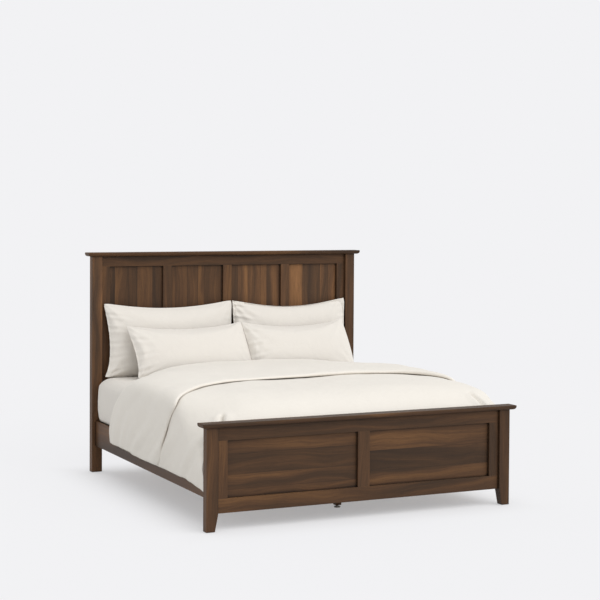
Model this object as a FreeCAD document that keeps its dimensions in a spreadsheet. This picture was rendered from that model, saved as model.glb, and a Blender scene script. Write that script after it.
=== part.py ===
import FreeCAD, Part
import math
import os
import Sketcher

# A king-size panel bed with its bedding, in millimetres.
# +Z is up, +Y points to the headboard, +X is to the right for someone standing at the foot.
# The origin is on the floor, in the middle of the bed's outline.

Vector = FreeCAD.Vector
doc = FreeCAD.newDocument("panel_bed")

SIZES = (
    ("mattress_width", 1930.0, "a king-size mattress"),
    ("mattress_length", 2032.0, ""),
    ("mattress_height", 363.0, ""),
    ("mattress_side_gap", 7.0, "to the side rails"),
    ("mattress_head_gap", 9.0, "to the fronts of the head posts"),
    ("mattress_foot_gap", 32.0, "to the backs of the foot posts"),
    ("post_width", 73.0, "all four posts, seen from the front"),
    ("foot_post_depth", 52.0, ""),
    ("head_post_depth", 58.0, ""),
    ("foot_post_height", 602.0, "floor to the underside of the foot cap"),
    ("head_post_height", 1508.0, "floor to the underside of the head cap"),
    ("foot_taper", 20.0, "taken off the inner face of a foot post at the floor"),
    ("post_ease", 1.5, "chamfer along the posts' upright edges"),
    ("cap_thickness", 27.0, ""),
    ("cap_side", 33.0, "overhang past the posts at each end"),
    ("cap_front", 26.0, "overhang past the front of the posts"),
    ("foot_cap_back", 12.0, "overhang past the back of the foot posts"),
    ("head_cap_back", 10.0, "overhang past the back of the head posts"),
    ("cap_round", 19.0, "radius under the cap's front and ends"),
    ("cap_edge", 3.5, "radius along the cap's top edges"),
    ("tongue_width", 10.0, "tongue of a top rail, seated in its cap"),
    ("tongue_height", 8.0, ""),
    ("frame_thickness", 32.0, "rails, stiles and mullions"),
    ("foot_setback", 18.0, "face of the footboard frame behind the posts"),
    ("head_setback", 22.0, "face of the headboard frame behind the posts"),
    ("panel_recess", 19.0, "face of a panel behind the face of its frame"),
    ("panel_thickness", 9.0, ""),
    ("panel_bite", 9.0, "how far a panel stands in its grooves"),
    ("groove_depth", 11.0, ""),
    ("joint_play", 0.2, "room beside a panel or a stub tenon"),
    ("foot_frame_bottom", 104.0, "underside of the footboard's lower rail"),
    ("foot_lower_rail", 84.0, "height of the rail"),
    ("foot_upper_rail", 79.0, "height of the rail"),
    ("foot_stile", 65.0, "width"),
    ("foot_mullion", 79.0, "width"),
    ("head_frame_bottom", 300.0, "underside of the headboard's lower rail"),
    ("head_lower_rail", 100.0, "height of the rail"),
    ("head_upper_rail", 72.0, "height of the rail"),
    ("head_stile", 63.0, "width"),
    ("head_mullion", 66.0, "width"),
    ("tenon_length", 26.0, "tenons of the rails, in the posts"),
    ("tenon_thickness", 12.0, ""),
    ("tenon_shoulder", 12.0, "from the rail's edges to its tenon"),
    ("rail_inset", 26.0, "outer face of a side rail behind the posts' outer faces"),
    ("rail_thickness", 27.0, ""),
    ("rail_bottom", 186.0, "underside of a side rail"),
    ("rail_height", 174.0, ""),
    ("rail_ease", 3.0, "radius along a side rail's upper edges"),
    ("cleat_width", 22.0, "ledger strip that carries the slats"),
    ("cleat_height", 30.0, ""),
    ("slat_count", 11.0, ""),
    ("slat_width", 80.0, ""),
    ("slat_thickness", 19.0, ""),
    ("slat_play", 1.5, "between a slat's end and the side rail"),
    ("slat_drop", 55.0, "top of the slats below the top of the side rails"),
    ("tape_width", 25.0, "webbing that spaces the slats"),
    ("tape_thickness", 1.0, ""),
    ("tape_place", 480.0, "middle of a tape from the middle of the bed"),
    ("beam_width", 70.0, "lengthwise beam under the slats"),
    ("beam_height", 45.0, ""),
    ("leg_spacing", 720.0, "between the centre legs"),
    ("leg_top_width", 54.0, "square section under the beam"),
    ("leg_foot_width", 38.0, "square section above the levelling foot"),
    ("bolt_radius", 4.0, "hanger bolts between the beam and its legs"),
    ("bolt_reach", 30.0, "into the beam and into the leg"),
    ("bore_play", 0.2, "room round the bolts and the inserts"),
    ("leveller_radius", 20.0, "pad of a levelling foot"),
    ("leveller_pad", 6.0, "thickness of the pad"),
    ("leveller_nut_width", 17.0, "hexagon, across its flats"),
    ("leveller_nut", 10.0, "height of the nut above the pad"),
    ("leveller_stem_radius", 5.0, ""),
    ("leveller_stem", 45.0, "length of the stem above the nut"),
    ("stem_play", 0.25, "round the stem, in place of its thread"),
    ("insert_radius", 8.0, "threaded insert in the end of a leg"),
    ("insert_length", 22.0, ""),
    ("glide_radius", 14.0, "nylon glide under a post"),
    ("glide_thickness", 3.0, ""),
    ("plate_width", 17.0, "bed-rail fastener plates"),
    ("plate_height", 132.0, ""),
    ("plate_thickness", 3.0, ""),
    ("plate_play", 0.15, "round a plate, in its recess"),
    ("hook_thickness", 3.5, ""),
    ("hook_height", 20.0, "neck of a hook"),
    ("hook_lip", 8.0, "how far the hook reaches down behind the slot plate"),
    ("hook_play", 0.4, "room beside and behind a hook"),
    ("hook_spacing", 52.0, "between the two hooks of a plate"),
    ("mattress_corner", 90.0, "corner radius seen from above"),
    ("mattress_crown", 88.0, "radius round the mattress's top"),
    ("mattress_base_round", 26.0, "radius round its underside"),
    ("mattress_bulge", 17.0, "how far its sides swell above the side rails"),
    ("soft_gap", 0.4, "between the bedding and what it rests on"),
    ("duvet_loft", 88.0, "top of the duvet above the mattress"),
    ("duvet_overhang", 13.0, "how far the duvet hangs out past the posts' outer faces"),
    ("duvet_drop", 116.0, "how far its hem hangs below the tops of the side rails"),
    ("duvet_drape", 156.0, "height of the rounded shoulder of the duvet"),
    ("duvet_fold", 7.0, "depth of the soft folds in the hanging sides"),
    ("duvet_fold_pitch", 270.0, "from fold to fold"),
    ("duvet_reveal", 360.0, "from the head posts' fronts to the duvet's folded end"),
    ("duvet_droop", 62.0, "how much lower its head end lies beside the pillows' outer corners"),
    ("turn_back_loft", 22.0, "how far the turned-back band stands above the rest"),
    ("turn_back_depth", 835.0, "from the duvet's folded end to the band's edge, mid bed"),
    ("turn_back_sweep", 300.0, "how far that edge swings forward at the shoulders"),
    ("back_left_margin", 21.0, "from the mattress's side to the outer end of the left back pillow"),
    ("back_right_margin", 41.0, "the same, right"),
    ("back_pillow_height", 508.0, ""),
    ("back_pillow_front", 92.0, "its swell in front of its seam"),
    ("back_pillow_rear", 48.0, "its swell behind its seam"),
    ("back_pillow_gap", 16.0, "between the two back pillows"),
    ("back_pillow_offset", 23.0, "middle of that gap, right of the bed's middle"),
    ("front_left_margin", 147.0, "from the mattress's side to the outer end of the left front pillow"),
    ("front_right_margin", 105.0, "the same, right"),
    ("front_pillow_height", 364.0, ""),
    ("front_pillow_front", 84.0, "its swell in front of its seam"),
    ("front_pillow_rear", 34.0, "its swell behind its seam"),
    ("front_pillow_gap", 6.0, "between the two front pillows"),
    ("front_pillow_offset", 49.0, "middle of that gap, right of the bed's middle"),
    ("pillow_draw", 26.0, "how far a pillow's sides pull in between its corners"),
    ("back_pillow_lean", 3.6, "degrees from upright"),
    ("front_pillow_lean", 9.5, "degrees from upright"),
)

sheet = doc.addObject("Spreadsheet::Sheet", "Sizes")
for row, (name, number, note) in enumerate(SIZES, 1):
    sheet.set(f"A{row}", name)
    sheet.set(f"B{row}", str(number))
    sheet.setAlias(f"B{row}", name)
    sheet.set(f"C{row}", note)
doc.recompute()


class Measure:
    """A length that knows both its value and the sheet expression that gives it."""

    def __init__(self, text, value):
        self.text = text
        self.value = float(value)

    def __float__(self):
        return self.value

    def __add__(self, other):
        return Measure(f"({self.text} + {measure(other).text})", self.value + float(other))

    def __radd__(self, other):
        return measure(other) + self

    def __sub__(self, other):
        return Measure(f"({self.text} - {measure(other).text})", self.value - float(other))

    def __rsub__(self, other):
        return measure(other) - self

    def __mul__(self, other):
        return Measure(f"({self.text} * {measure(other).text})", self.value * float(other))

    def __rmul__(self, other):
        return measure(other) * self

    def __truediv__(self, other):
        return Measure(f"({self.text} / {measure(other).text})", self.value / float(other))

    def __neg__(self):
        return Measure(f"(0 - {self.text})", -self.value)


def measure(value):
    return value if isinstance(value, Measure) else Measure(repr(float(value)), value)


class Sizes:
    """Each cell of the sheet as a Measure, under its alias."""

    def __init__(self):
        for name, _, _ in SIZES:
            setattr(self, name, Measure(f"Sizes.{name}", sheet.get(name)))


size = Sizes()
parts = {}


def bind(thing, setting, value):
    thing.setExpression(setting, measure(value).text)


def keep(label, thing):
    """Registers a finished piece under the name of its node."""
    thing.Label = label
    parts[label] = thing
    return thing


# ---------------------------------------------------------------- solids


def board(x, y, z, name="board"):
    """A straight board between two values along each axis."""
    box = doc.addObject("Part::Box", name)
    for setting, (low, high) in zip(("Length", "Width", "Height"), (x, y, z)):
        bind(box, setting, high - low)
    for axis, (low, _) in zip("xyz", (x, y, z)):
        bind(box, f"Placement.Base.{axis}", low)
    return box


def rod(x, y, z, radius, length, turn=None, name="rod"):
    """A cylinder that starts at a point and runs along +Z, or the way that it is turned."""
    cylinder = doc.addObject("Part::Cylinder", name)
    bind(cylinder, "Radius", radius)
    bind(cylinder, "Height", length)
    return put(cylinder, x, y, z, turn)


def put(thing, x, y, z, turn=None):
    if turn is not None:
        thing.Placement = FreeCAD.Placement(Vector(0, 0, 0), turn)
    for axis, value in zip("xyz", (x, y, z)):
        bind(thing, f"Placement.Base.{axis}", value)
    return thing


def together(pieces, name="joined"):
    """One solid out of pieces that touch, or a tool out of pieces that don't."""
    if len(pieces) == 1:
        return pieces[0]
    fuse = doc.addObject("Part::MultiFuse", name)
    fuse.Shapes = pieces
    fuse.Refine = True
    return fuse


def cut(blank, tools, name="cut"):
    result = doc.addObject("Part::Cut", name)
    result.Base = blank
    result.Tool = together(tools, name + "_tools")
    return result


def group(label, pieces):
    """Equal fasteners that share a node and stay separate solids."""
    compound = doc.addObject("Part::Compound", label)
    compound.Links = pieces
    return keep(label, compound)


# ---------------------------------------------------------------- sketched bodies


def pin_to(sketch, corner, value, kind, axis):
    """Ties one coordinate of an outline's corner to the sheet, or to an axis."""
    if isinstance(value, Measure):
        index = sketch.addConstraint(Sketcher.Constraint(kind, -1, 1, corner, 1, float(value)))
        sketch.setExpression(f"Constraints[{index}]", value.text)
    else:
        sketch.addConstraint(Sketcher.Constraint("PointOnObject", corner, 1, axis))


def outline(body, plane_role, corners):
    """A closed straight-sided outline on one of the body's own planes."""
    plane = next(p for p in body.Origin.OriginFeatures if p.Role == plane_role)
    sketch = body.newObject("Sketcher::SketchObject", body.Name + "_outline")
    sketch.AttachmentSupport = [(plane, "")]
    sketch.MapMode = "FlatFace"
    points = [Vector(float(a), float(b), 0) for a, b in corners]
    count = len(points)
    for index in range(count):
        sketch.addGeometry(Part.LineSegment(points[index], points[(index + 1) % count]))
    for index in range(count):
        sketch.addConstraint(Sketcher.Constraint("Coincident", index, 2, (index + 1) % count, 1))
    for index, (a, b) in enumerate(corners):
        pin_to(sketch, index, a, "DistanceX", -2)
        pin_to(sketch, index, b, "DistanceY", -1)
    return sketch


def padded(name, plane_role, corners, length, reverse=False):
    """A body padded from an outline: (body, pad)."""
    body = doc.addObject("PartDesign::Body", name)
    pad = body.newObject("PartDesign::Pad", name + "_pad")
    sketch = outline(body, plane_role, corners)
    pad.Profile = sketch
    bind(pad, "Length", length)
    pad.Reversed = reverse
    body.Tip = pad
    doc.recompute()
    return body, pad


def dressed(body, feature, kind, chosen, setting, amount):
    """Rounds or chamfers the chosen edges of a body's last feature."""
    names = [f"Edge{n}" for n, edge in enumerate(feature.Shape.Edges, 1) if chosen(edge.BoundBox)]
    dress = body.newObject(f"PartDesign::{kind}", body.Name + "_" + kind.lower())
    dress.Base = (feature, names)
    bind(dress, setting, amount)
    body.Tip = dress
    doc.recompute()
    return dress


# ---------------------------------------------------------------- main places

bed_width = size.mattress_width + 2 * (size.mattress_side_gap + size.rail_thickness + size.rail_inset)
bed_length = (size.foot_post_depth + size.mattress_foot_gap + size.mattress_length
              + size.mattress_head_gap)
half_width = bed_width / 2
post_inside = half_width - size.post_width
outline_length = bed_length + size.head_post_depth + size.head_cap_back + size.cap_front
foot_front = size.cap_front - outline_length / 2
foot_back = foot_front + size.foot_post_depth
head_front = foot_front + bed_length
rail_outside = half_width - size.rail_inset
rail_inside = rail_outside - size.rail_thickness
rail_middle = rail_outside - size.rail_thickness / 2
rail_top = size.rail_bottom + size.rail_height
slat_top = rail_top - size.slat_drop
slat_bottom = slat_top - size.slat_thickness
beam_bottom = slat_bottom - size.beam_height
LEFT, RIGHT = -1, 1
SIDES = ((LEFT, "left"), (RIGHT, "right"))


def mirrored(side, near, far):
    """The span between two distances from the bed's middle, on one side of it."""
    return (-far, -near) if side == LEFT else (near, far)


# ---------------------------------------------------------------- bed-rail fasteners
# Each side rail ends in a steel plate with two hooks. They drop through the slots of a plate
# that is let into the post, and bear on the slots' lower edges.

plate_middle = size.rail_bottom + size.rail_height / 2
hook_reach = size.plate_thickness + size.hook_play + size.plate_thickness
HEAD_END, FOOT_END = 1, -1
CORNERS = tuple((side, name, end) for side, name in SIDES for end in (FOOT_END, HEAD_END))


def along(start, near, far, end):
    """The span from one distance to another beyond a rail's end face, towards its post."""
    return (start + near, start + far) if end == HEAD_END else (start - far, start - near)


def rail_end(end):
    return head_front if end == HEAD_END else foot_back


def around(middle, width):
    return (middle - width / 2, middle + width / 2)


def corner_plate(side, end, near, far, play=0.0):
    """The plate's outline at one corner of the bed, from one depth to another."""
    return board(
        around(side * rail_middle, size.plate_width + 2 * play),
        along(rail_end(end), near, far, end),
        around(plate_middle, size.plate_height + 2 * play),
    )


def hook_bottoms():
    """The undersides of the two hooks' necks."""
    for step in (-0.5, 0.5):
        yield plate_middle + step * size.hook_spacing - size.hook_height / 2


def hooks(side, end):
    """The two hooks of a rail's plate: a neck, and a lip behind the slot plate."""
    pieces = []
    thickness = around(side * rail_middle, size.hook_thickness)
    for bottom in hook_bottoms():
        top = bottom + size.hook_height
        behind = size.plate_thickness + size.hook_play
        pieces.append(board(thickness, along(rail_end(end), 0, hook_reach, end), (bottom, top)))
        pieces.append(
            board(thickness, along(rail_end(end), behind, hook_reach, end), (bottom - size.hook_lip, top))
        )
    return pieces


def slots(side, end):
    """The openings that the hooks drop through."""
    width = size.hook_thickness + 2 * size.hook_play
    spans = [(bottom, bottom + size.hook_height + size.hook_lip + size.hook_play) for bottom in hook_bottoms()]
    depth = along(rail_end(end), 0, size.plate_thickness, end)
    return [board(around(side * rail_middle, width), depth, span) for span in spans]


def hook_rooms(side, end):
    """The pockets in the post behind the slots."""
    width = size.hook_thickness + 4 * size.hook_play
    depth = along(rail_end(end), size.plate_thickness, hook_reach + size.hook_play, end)
    rooms = []
    for bottom in hook_bottoms():
        low = bottom - size.hook_lip - size.hook_play
        high = bottom + size.hook_height + size.hook_lip + size.hook_play
        rooms.append(board(around(side * rail_middle, width), depth, (low, high)))
    return rooms


def post_fastener_tools(side, end):
    """What is cut out of a post for its slot plate and the hooks."""
    recess = corner_plate(side, end, 0, size.plate_thickness, size.plate_play)
    return [recess] + hook_rooms(side, end)


def rail_recess(side, end):
    """What is cut out of a side rail's end for its hook plate."""
    return corner_plate(side, end, -size.plate_thickness, 0, size.plate_play)


def make_fasteners():
    slot_plates = []
    hook_plates = []
    for side, _, end in CORNERS:
        slot_plate = corner_plate(side, end, 0, size.plate_thickness)
        slot_plates.append(cut(slot_plate, slots(side, end), "slot_plate"))
        hook_plate = corner_plate(side, end, -size.plate_thickness, 0)
        hook_plates.append(together([hook_plate] + hooks(side, end), "hook_plate"))
    group("post_slot_plates", slot_plates)
    group("rail_hook_plates", hook_plates)


# ---------------------------------------------------------------- posts


def post_outline(side, height, taper_height):
    """The front of a post, with its inner face tapered below the frame where it has a taper."""
    width = size.post_width
    if taper_height is None:
        return [(0, 0), (width, 0), (width, height), (0, height)]
    narrow = width - size.foot_taper
    if side == LEFT:
        return [(0, 0), (narrow, 0), (width, taper_height), (width, height), (0, height)]
    return [(size.foot_taper, 0), (width, 0), (width, height), (0, height), (0, taper_height)]


def post_blank(name, side, depth, height, taper_height, y):
    """A post before joinery. Its four upright edges are eased."""
    standing = height - size.glide_thickness
    taper = None if taper_height is None else taper_height - size.glide_thickness
    corners = post_outline(side, standing, taper)
    body, pad = padded(name, "XZ_Plane", corners, depth, reverse=True)
    tall = float(standing) / 2
    dressed(body, pad, "Chamfer", lambda box: box.ZLength > tall, "Size", size.post_ease)
    put(body, -half_width if side == LEFT else post_inside, y, size.glide_thickness)
    return body


def tenon_span(bottom, height):
    return (bottom + size.tenon_shoulder, bottom + height - size.tenon_shoulder)


def mortises(side, frame_front, rails):
    """The mortises for the tenons of the rails, given as (bottom, height)."""
    x = mirrored(side, post_inside, post_inside + size.tenon_length)
    y = around(frame_front + size.frame_thickness / 2, size.tenon_thickness)
    return [board(x, y, tenon_span(*rail)) for rail in rails]


def glide_place(side, y, depth, taper):
    """The middle of a post's foot."""
    inset = (size.post_width - taper) / 2
    return side * (half_width - inset), y + depth / 2


def make_posts():
    head_rails = (
        (size.head_frame_bottom, size.head_lower_rail),
        (size.head_post_height - size.head_upper_rail, size.head_upper_rail),
    )
    foot_rails = (
        (size.foot_frame_bottom, size.foot_lower_rail),
        (size.foot_post_height - size.foot_upper_rail, size.foot_upper_rail),
    )
    ends = (
        ("headboard", head_front, size.head_post_depth, size.head_post_height, None, size.head_setback,
         head_rails, HEAD_END, measure(0)),
        ("footboard", foot_front, size.foot_post_depth, size.foot_post_height, size.foot_frame_bottom,
         size.foot_setback, foot_rails, FOOT_END, size.foot_taper),
    )
    glides = []
    for board_name, y, depth, height, taper_height, setback, rails, end, taper in ends:
        for side, side_name in SIDES:
            label = f"{board_name}_post_{side_name}"
            blank = post_blank(label + "_blank", side, depth, height, taper_height, y)
            place = glide_place(side, y, depth, taper)
            keep(label, cut(blank, mortises(side, y + setback, rails) + post_fastener_tools(side, end), label))
            glides.append(rod(*place, 0, size.glide_radius, size.glide_thickness, name="glide"))
    group("post_glides", glides)


# ---------------------------------------------------------------- caps


def make_cap(label, y, depth, back, bottom, frame_front):
    """A moulded board on the posts: rounded under its front and ends, eased along its top."""
    width = bed_width + 2 * size.cap_side
    reach = size.cap_front + depth + back
    corners = [(0, 0), (width, 0), (width, reach), (0, reach)]
    body, pad = padded(label + "_blank", "XY_Plane", corners, size.cap_thickness)

    def under(box):
        front_or_end = box.YMax < 1 or box.YLength > 1
        return box.ZMax < 1 and front_or_end

    rounded = dressed(body, pad, "Fillet", under, "Radius", size.cap_round)
    top = float(size.cap_thickness) - 1
    dressed(body, rounded, "Fillet", lambda box: box.ZMin > top, "Radius", size.cap_edge)
    put(body, -width / 2, y - size.cap_front, bottom)
    groove = board(
        (-post_inside, post_inside),
        around(frame_front + size.frame_thickness / 2, size.tongue_width + 2 * size.joint_play),
        (bottom, bottom + size.tongue_height + size.joint_play),
    )
    keep(label, cut(body, [groove], label))


# ---------------------------------------------------------------- frames and panels


def groove_span(frame_front, play):
    """Where the panels stand in the thickness of their frame."""
    front = frame_front + size.panel_recess
    return (front - play, front + size.panel_thickness + play)


def make_rail(label, frame_front, bottom, height, upper):
    """A rail between two posts, with a tenon at each end and a groove towards its panels.
    An upper rail also has a tongue along its top."""
    x = (-post_inside, post_inside)
    y = (frame_front, frame_front + size.frame_thickness)
    middle = frame_front + size.frame_thickness / 2
    tenon_x = (-post_inside - size.tenon_length, post_inside + size.tenon_length)
    tenon = board(tenon_x, around(middle, size.tenon_thickness), tenon_span(bottom, height))
    pieces = [board(x, y, (bottom, bottom + height)), tenon]
    groove_z = (bottom + height - size.groove_depth, bottom + height)
    if upper:
        top = bottom + height
        pieces.append(board(x, around(middle, size.tongue_width), (top, top + size.tongue_height)))
        groove_z = (bottom, bottom + size.groove_depth)
    groove = board(x, groove_span(frame_front, size.joint_play), groove_z)
    keep(label, cut(together(pieces, label + "_blank"), [groove], label))


def make_upright(label, frame_front, x, bottom, top, grooved):
    """A stile or mullion between two rails, with a stub tenon at each end.
    grooved lists the edges that hold a panel."""
    y = (frame_front, frame_front + size.frame_thickness)
    stub_z = (bottom - size.groove_depth, top + size.groove_depth)
    pieces = [board(x, y, (bottom, top)), board(x, groove_span(frame_front, 0), stub_z)]
    edges = {LEFT: (x[0], x[0] + size.groove_depth), RIGHT: (x[1] - size.groove_depth, x[1])}
    grooves = [board(edges[edge], groove_span(frame_front, size.joint_play), stub_z) for edge in grooved]
    keep(label, cut(together(pieces, label + "_blank"), grooves, label))


def make_panel(label, frame_front, x, bottom, top):
    """A thin panel that floats in the grooves round it."""
    bite = size.panel_bite
    keep(
        label,
        board((x[0] - bite, x[1] + bite), groove_span(frame_front, 0), (bottom - bite, top + bite), label),
    )


def make_framework(name, frame_front, bottom, top, lower_rail, upper_rail, stile, mullion, names):
    """Rails, stiles, mullions and panels between two posts.
    names holds the panels' names from left to right and the mullions' names."""
    panel_names, mullion_names = names
    make_rail(f"{name}_lower_rail", frame_front, bottom, lower_rail, upper=False)
    make_rail(f"{name}_upper_rail", frame_front, top - upper_rail, upper_rail, upper=True)
    low = bottom + lower_rail
    high = top - upper_rail
    opening = post_inside - stile
    make_upright(f"{name}_stile_left", frame_front, (-post_inside, -opening), low, high, (RIGHT,))
    make_upright(f"{name}_stile_right", frame_front, (opening, post_inside), low, high, (LEFT,))
    gaps = len(mullion_names)
    panel_width = (2 * opening - gaps * mullion) / (gaps + 1)
    for index, panel_name in enumerate(panel_names):
        start = -opening + index * (panel_width + mullion)
        make_panel(f"{name}_panel_{panel_name}", frame_front, (start, start + panel_width), low, high)
    for index, mullion_name in enumerate(mullion_names):
        start = -opening + panel_width + index * (panel_width + mullion)
        label = f"{name}_mullion" + mullion_name
        make_upright(label, frame_front, (start, start + mullion), low, high, (LEFT, RIGHT))


def make_headboard():
    frame_front = head_front + size.head_setback
    names = (("1", "2", "3", "4"), ("_left", "_middle", "_right"))
    make_framework("headboard", frame_front, size.head_frame_bottom, size.head_post_height,
                   size.head_lower_rail, size.head_upper_rail, size.head_stile, size.head_mullion, names)
    make_cap("headboard_cap", head_front, size.head_post_depth, size.head_cap_back,
             size.head_post_height, frame_front)


def make_footboard():
    frame_front = foot_front + size.foot_setback
    names = (("left", "right"), ("",))
    make_framework("footboard", frame_front, size.foot_frame_bottom, size.foot_post_height,
                   size.foot_lower_rail, size.foot_upper_rail, size.foot_stile, size.foot_mullion, names)
    make_cap("footboard_cap", foot_front, size.foot_post_depth, size.foot_cap_back,
             size.foot_post_height, frame_front)


# ---------------------------------------------------------------- side rails, slats and centre support


def make_side_rails():
    """Each side rail is a board with rounded upper edges. A cleat along its inner face carries the slats."""
    length = head_front - foot_back
    for side, side_name in SIDES:
        label = f"side_rail_{side_name}"
        thickness, height = size.rail_thickness, size.rail_height
        corners = [(0, 0), (thickness, 0), (thickness, height), (0, height)]
        body, pad = padded(label + "_blank", "XZ_Plane", corners, length, reverse=True)
        top = float(height) - 1
        dressed(body, pad, "Fillet", lambda box: box.ZMin > top and box.YLength > 1, "Radius", size.rail_ease)
        put(body, -rail_outside if side == LEFT else rail_inside, foot_back, size.rail_bottom)
        keep(label, cut(body, [rail_recess(side, FOOT_END), rail_recess(side, HEAD_END)], label))
        cleat_x = mirrored(side, rail_inside - size.cleat_width, rail_inside)
        cleat_label = f"slat_cleat_{side_name}"
        cleat_z = (slat_bottom - size.cleat_height, slat_bottom)
        keep(cleat_label, board(cleat_x, (foot_back, head_front), cleat_z, cleat_label))


def make_slats():
    """Slats spread evenly over the length of the cleats, held at their spacing by two tapes."""
    count = int(float(size.slat_count))
    half_length = rail_inside - size.slat_play
    pitch = (head_front - foot_back) / size.slat_count
    for index in range(count):
        middle = foot_back + (index + 0.5) * pitch
        label = f"slat_{index + 1:02d}"
        y = around(middle, size.slat_width)
        keep(label, board((-half_length, half_length), y, (slat_bottom, slat_top), label))
    tape_y = (foot_back + pitch / 2 - size.slat_width / 2, head_front - pitch / 2 + size.slat_width / 2)
    for side, side_name in SIDES:
        label = f"slat_tape_{side_name}"
        x = around(side * size.tape_place, size.tape_width)
        keep(label, board(x, tape_y, (slat_bottom - size.tape_thickness, slat_bottom), label))


def tapered_leg(y, bottom, height):
    """A square leg, wider at its top. The wedge grows along its own Y axis, so it is stood up."""
    leg = doc.addObject("Part::Wedge", "leg_blank")
    for low, high, width in (("Xmin", "Xmax", size.leg_foot_width), ("Zmin", "Zmax", size.leg_foot_width),
                             ("X2min", "X2max", size.leg_top_width), ("Z2min", "Z2max", size.leg_top_width)):
        bind(leg, low, -width / 2)
        bind(leg, high, width / 2)
    leg.Ymin = 0
    bind(leg, "Ymax", height)
    return put(leg, 0, y, bottom, FreeCAD.Rotation(Vector(1, 0, 0), 90))


def make_leveller(label, y):
    """A levelling foot: a round pad, a hexagonal nut and a stem."""
    stop = size.leveller_pad + size.leveller_nut
    pad = rod(0, y, 0, size.leveller_radius, size.leveller_pad, name="pad")
    nut = doc.addObject("Part::Prism", "nut")
    nut.Polygon = 6
    bind(nut, "Circumradius", size.leveller_nut_width / math.sqrt(3))
    bind(nut, "Height", size.leveller_nut)
    put(nut, 0, y, size.leveller_pad)
    stem = rod(0, y, stop, size.leveller_stem_radius, size.leveller_stem, name="stem")
    keep(label, together([pad, nut, stem], label))


def make_centre_support():
    """A beam under the slats on three legs. Each leg hangs on a bolt that is screwed half into the
    beam and half into the leg, and has a levelling foot in a threaded insert."""
    middle = (foot_back + head_front) / 2
    pitch = (head_front - foot_back) / size.slat_count
    reach = (head_front - foot_back - pitch + size.slat_width) / 2
    leg_bottom = size.leveller_pad + size.leveller_nut
    stem_hole = size.leveller_stem_radius + size.stem_play
    bolt_hole = size.bolt_radius + size.bore_play
    bolt_depth = size.bolt_reach + size.bore_play
    insert_hole = size.insert_radius + size.bore_play
    stem_depth = size.leveller_stem + size.bore_play
    beam = board(around(measure(0), size.beam_width), (middle - reach, middle + reach),
                 (beam_bottom, slat_bottom), "beam_blank")
    holes = []
    bolts = []
    inserts = []
    for number, step in enumerate((-1, 0, 1), 1):
        y = middle + step * size.leg_spacing
        holes.append(rod(0, y, beam_bottom, bolt_hole, bolt_depth, name="bolt_hole"))
        bolt_start = beam_bottom - size.bolt_reach
        bolts.append(rod(0, y, bolt_start, size.bolt_radius, 2 * size.bolt_reach, name="hanger_bolt"))
        leg = f"centre_leg_{number}"
        blank = tapered_leg(y, leg_bottom, beam_bottom - leg_bottom)
        bolt_bore = rod(0, y, beam_bottom - bolt_depth, bolt_hole, bolt_depth, name="bolt_bore")
        insert_bore = rod(0, y, leg_bottom, insert_hole, stem_depth, name="insert_bore")
        keep(leg, cut(blank, [bolt_bore, insert_bore], leg))
        sleeve = rod(0, y, leg_bottom, size.insert_radius, size.insert_length, name="sleeve")
        thread = rod(0, y, leg_bottom, stem_hole, size.insert_length, name="thread")
        inserts.append(cut(sleeve, [thread], "insert"))
        make_leveller(f"leg_leveller_{number}", y)
    keep("centre_beam", cut(beam, holes, "centre_beam"))
    group("leg_hanger_bolts", bolts)
    group("leg_inserts", inserts)


# ---------------------------------------------------------------- bedding


def arc(start, through, end):
    return Part.Arc(start, through, end).toShape()


def soft_part(label, shape):
    feature = doc.addObject("Part::Feature", label)
    feature.Shape = shape
    return keep(label, feature)


def rounded_rectangle(x, y, z, corner):
    """A level outline: straight sides joined by quarter circles."""
    (x0, x1), (y0, y1) = x, y
    bend = corner * (1 - math.sqrt(0.5))
    sides = (
        (Vector(x0 + corner, y0, z), Vector(x1 - corner, y0, z)),
        (Vector(x1, y0 + corner, z), Vector(x1, y1 - corner, z)),
        (Vector(x1 - corner, y1, z), Vector(x0 + corner, y1, z)),
        (Vector(x0, y1 - corner, z), Vector(x0, y0 + corner, z)),
    )
    bends = (
        Vector(x1 - bend, y0 + bend, z),
        Vector(x1 - bend, y1 - bend, z),
        Vector(x0 + bend, y1 - bend, z),
        Vector(x0 + bend, y0 + bend, z),
    )
    edges = []
    for index, (start, end) in enumerate(sides):
        edges.append(Part.LineSegment(start, end).toShape())
        edges.append(arc(end, bends[index], sides[(index + 1) % 4][0]))
    return Part.Wire(edges)


mattress_foot = head_front - size.mattress_head_gap - size.mattress_length
mattress_top = slat_top + size.soft_gap + size.mattress_height


def rounding(radius, steps):
    """Points of a quarter circle that turns a side into a top: (inset, distance below the top)."""
    for step in range(steps + 1):
        angle = math.pi / 2 * step / steps
        yield radius * (1 - math.cos(angle)), radius * (1 - math.sin(angle))


def mattress_solid(grow):
    """Sides rounded in at the lower edge, swelling above the rails, and rounded over at the top."""
    half = float(size.mattress_width) / 2
    foot = float(mattress_foot)
    head = foot + float(size.mattress_length)
    base = float(slat_top) + float(size.soft_gap)
    top = base + float(size.mattress_height)
    bulge = float(size.mattress_bulge)
    base_round = float(size.mattress_base_round)
    crown = float(size.mattress_crown)
    beside_rails = float(rail_top) - base
    swell_height = float(size.mattress_height) - crown - beside_rails
    levels = [(base_round - inset, base + base_round - below, 0.0, 0.0) for inset, below in rounding(base_round, 1)]
    levels.append((0.0, base + beside_rails, 0.0, 0.0))
    for share, swell in ((0.3, 0.75), (0.6, 1.0), (0.85, 0.8)):
        levels.append((0.0, base + beside_rails + share * swell_height, swell, 0.0))
    for inset, below in rounding(crown, 3):
        levels.append((inset, top - below, 0.5 * (1 - inset / crown), 1 - below / crown))
    wires = []
    for inset, level, swell, rise in levels:
        across = half - inset + swell * bulge + grow
        ends = (foot + inset - grow, head - inset + grow)
        height = level + rise * grow
        wires.append(rounded_rectangle((-across, across), ends, height, float(size.mattress_corner)))
    return Part.makeLoft(wires, True, True)


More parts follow.
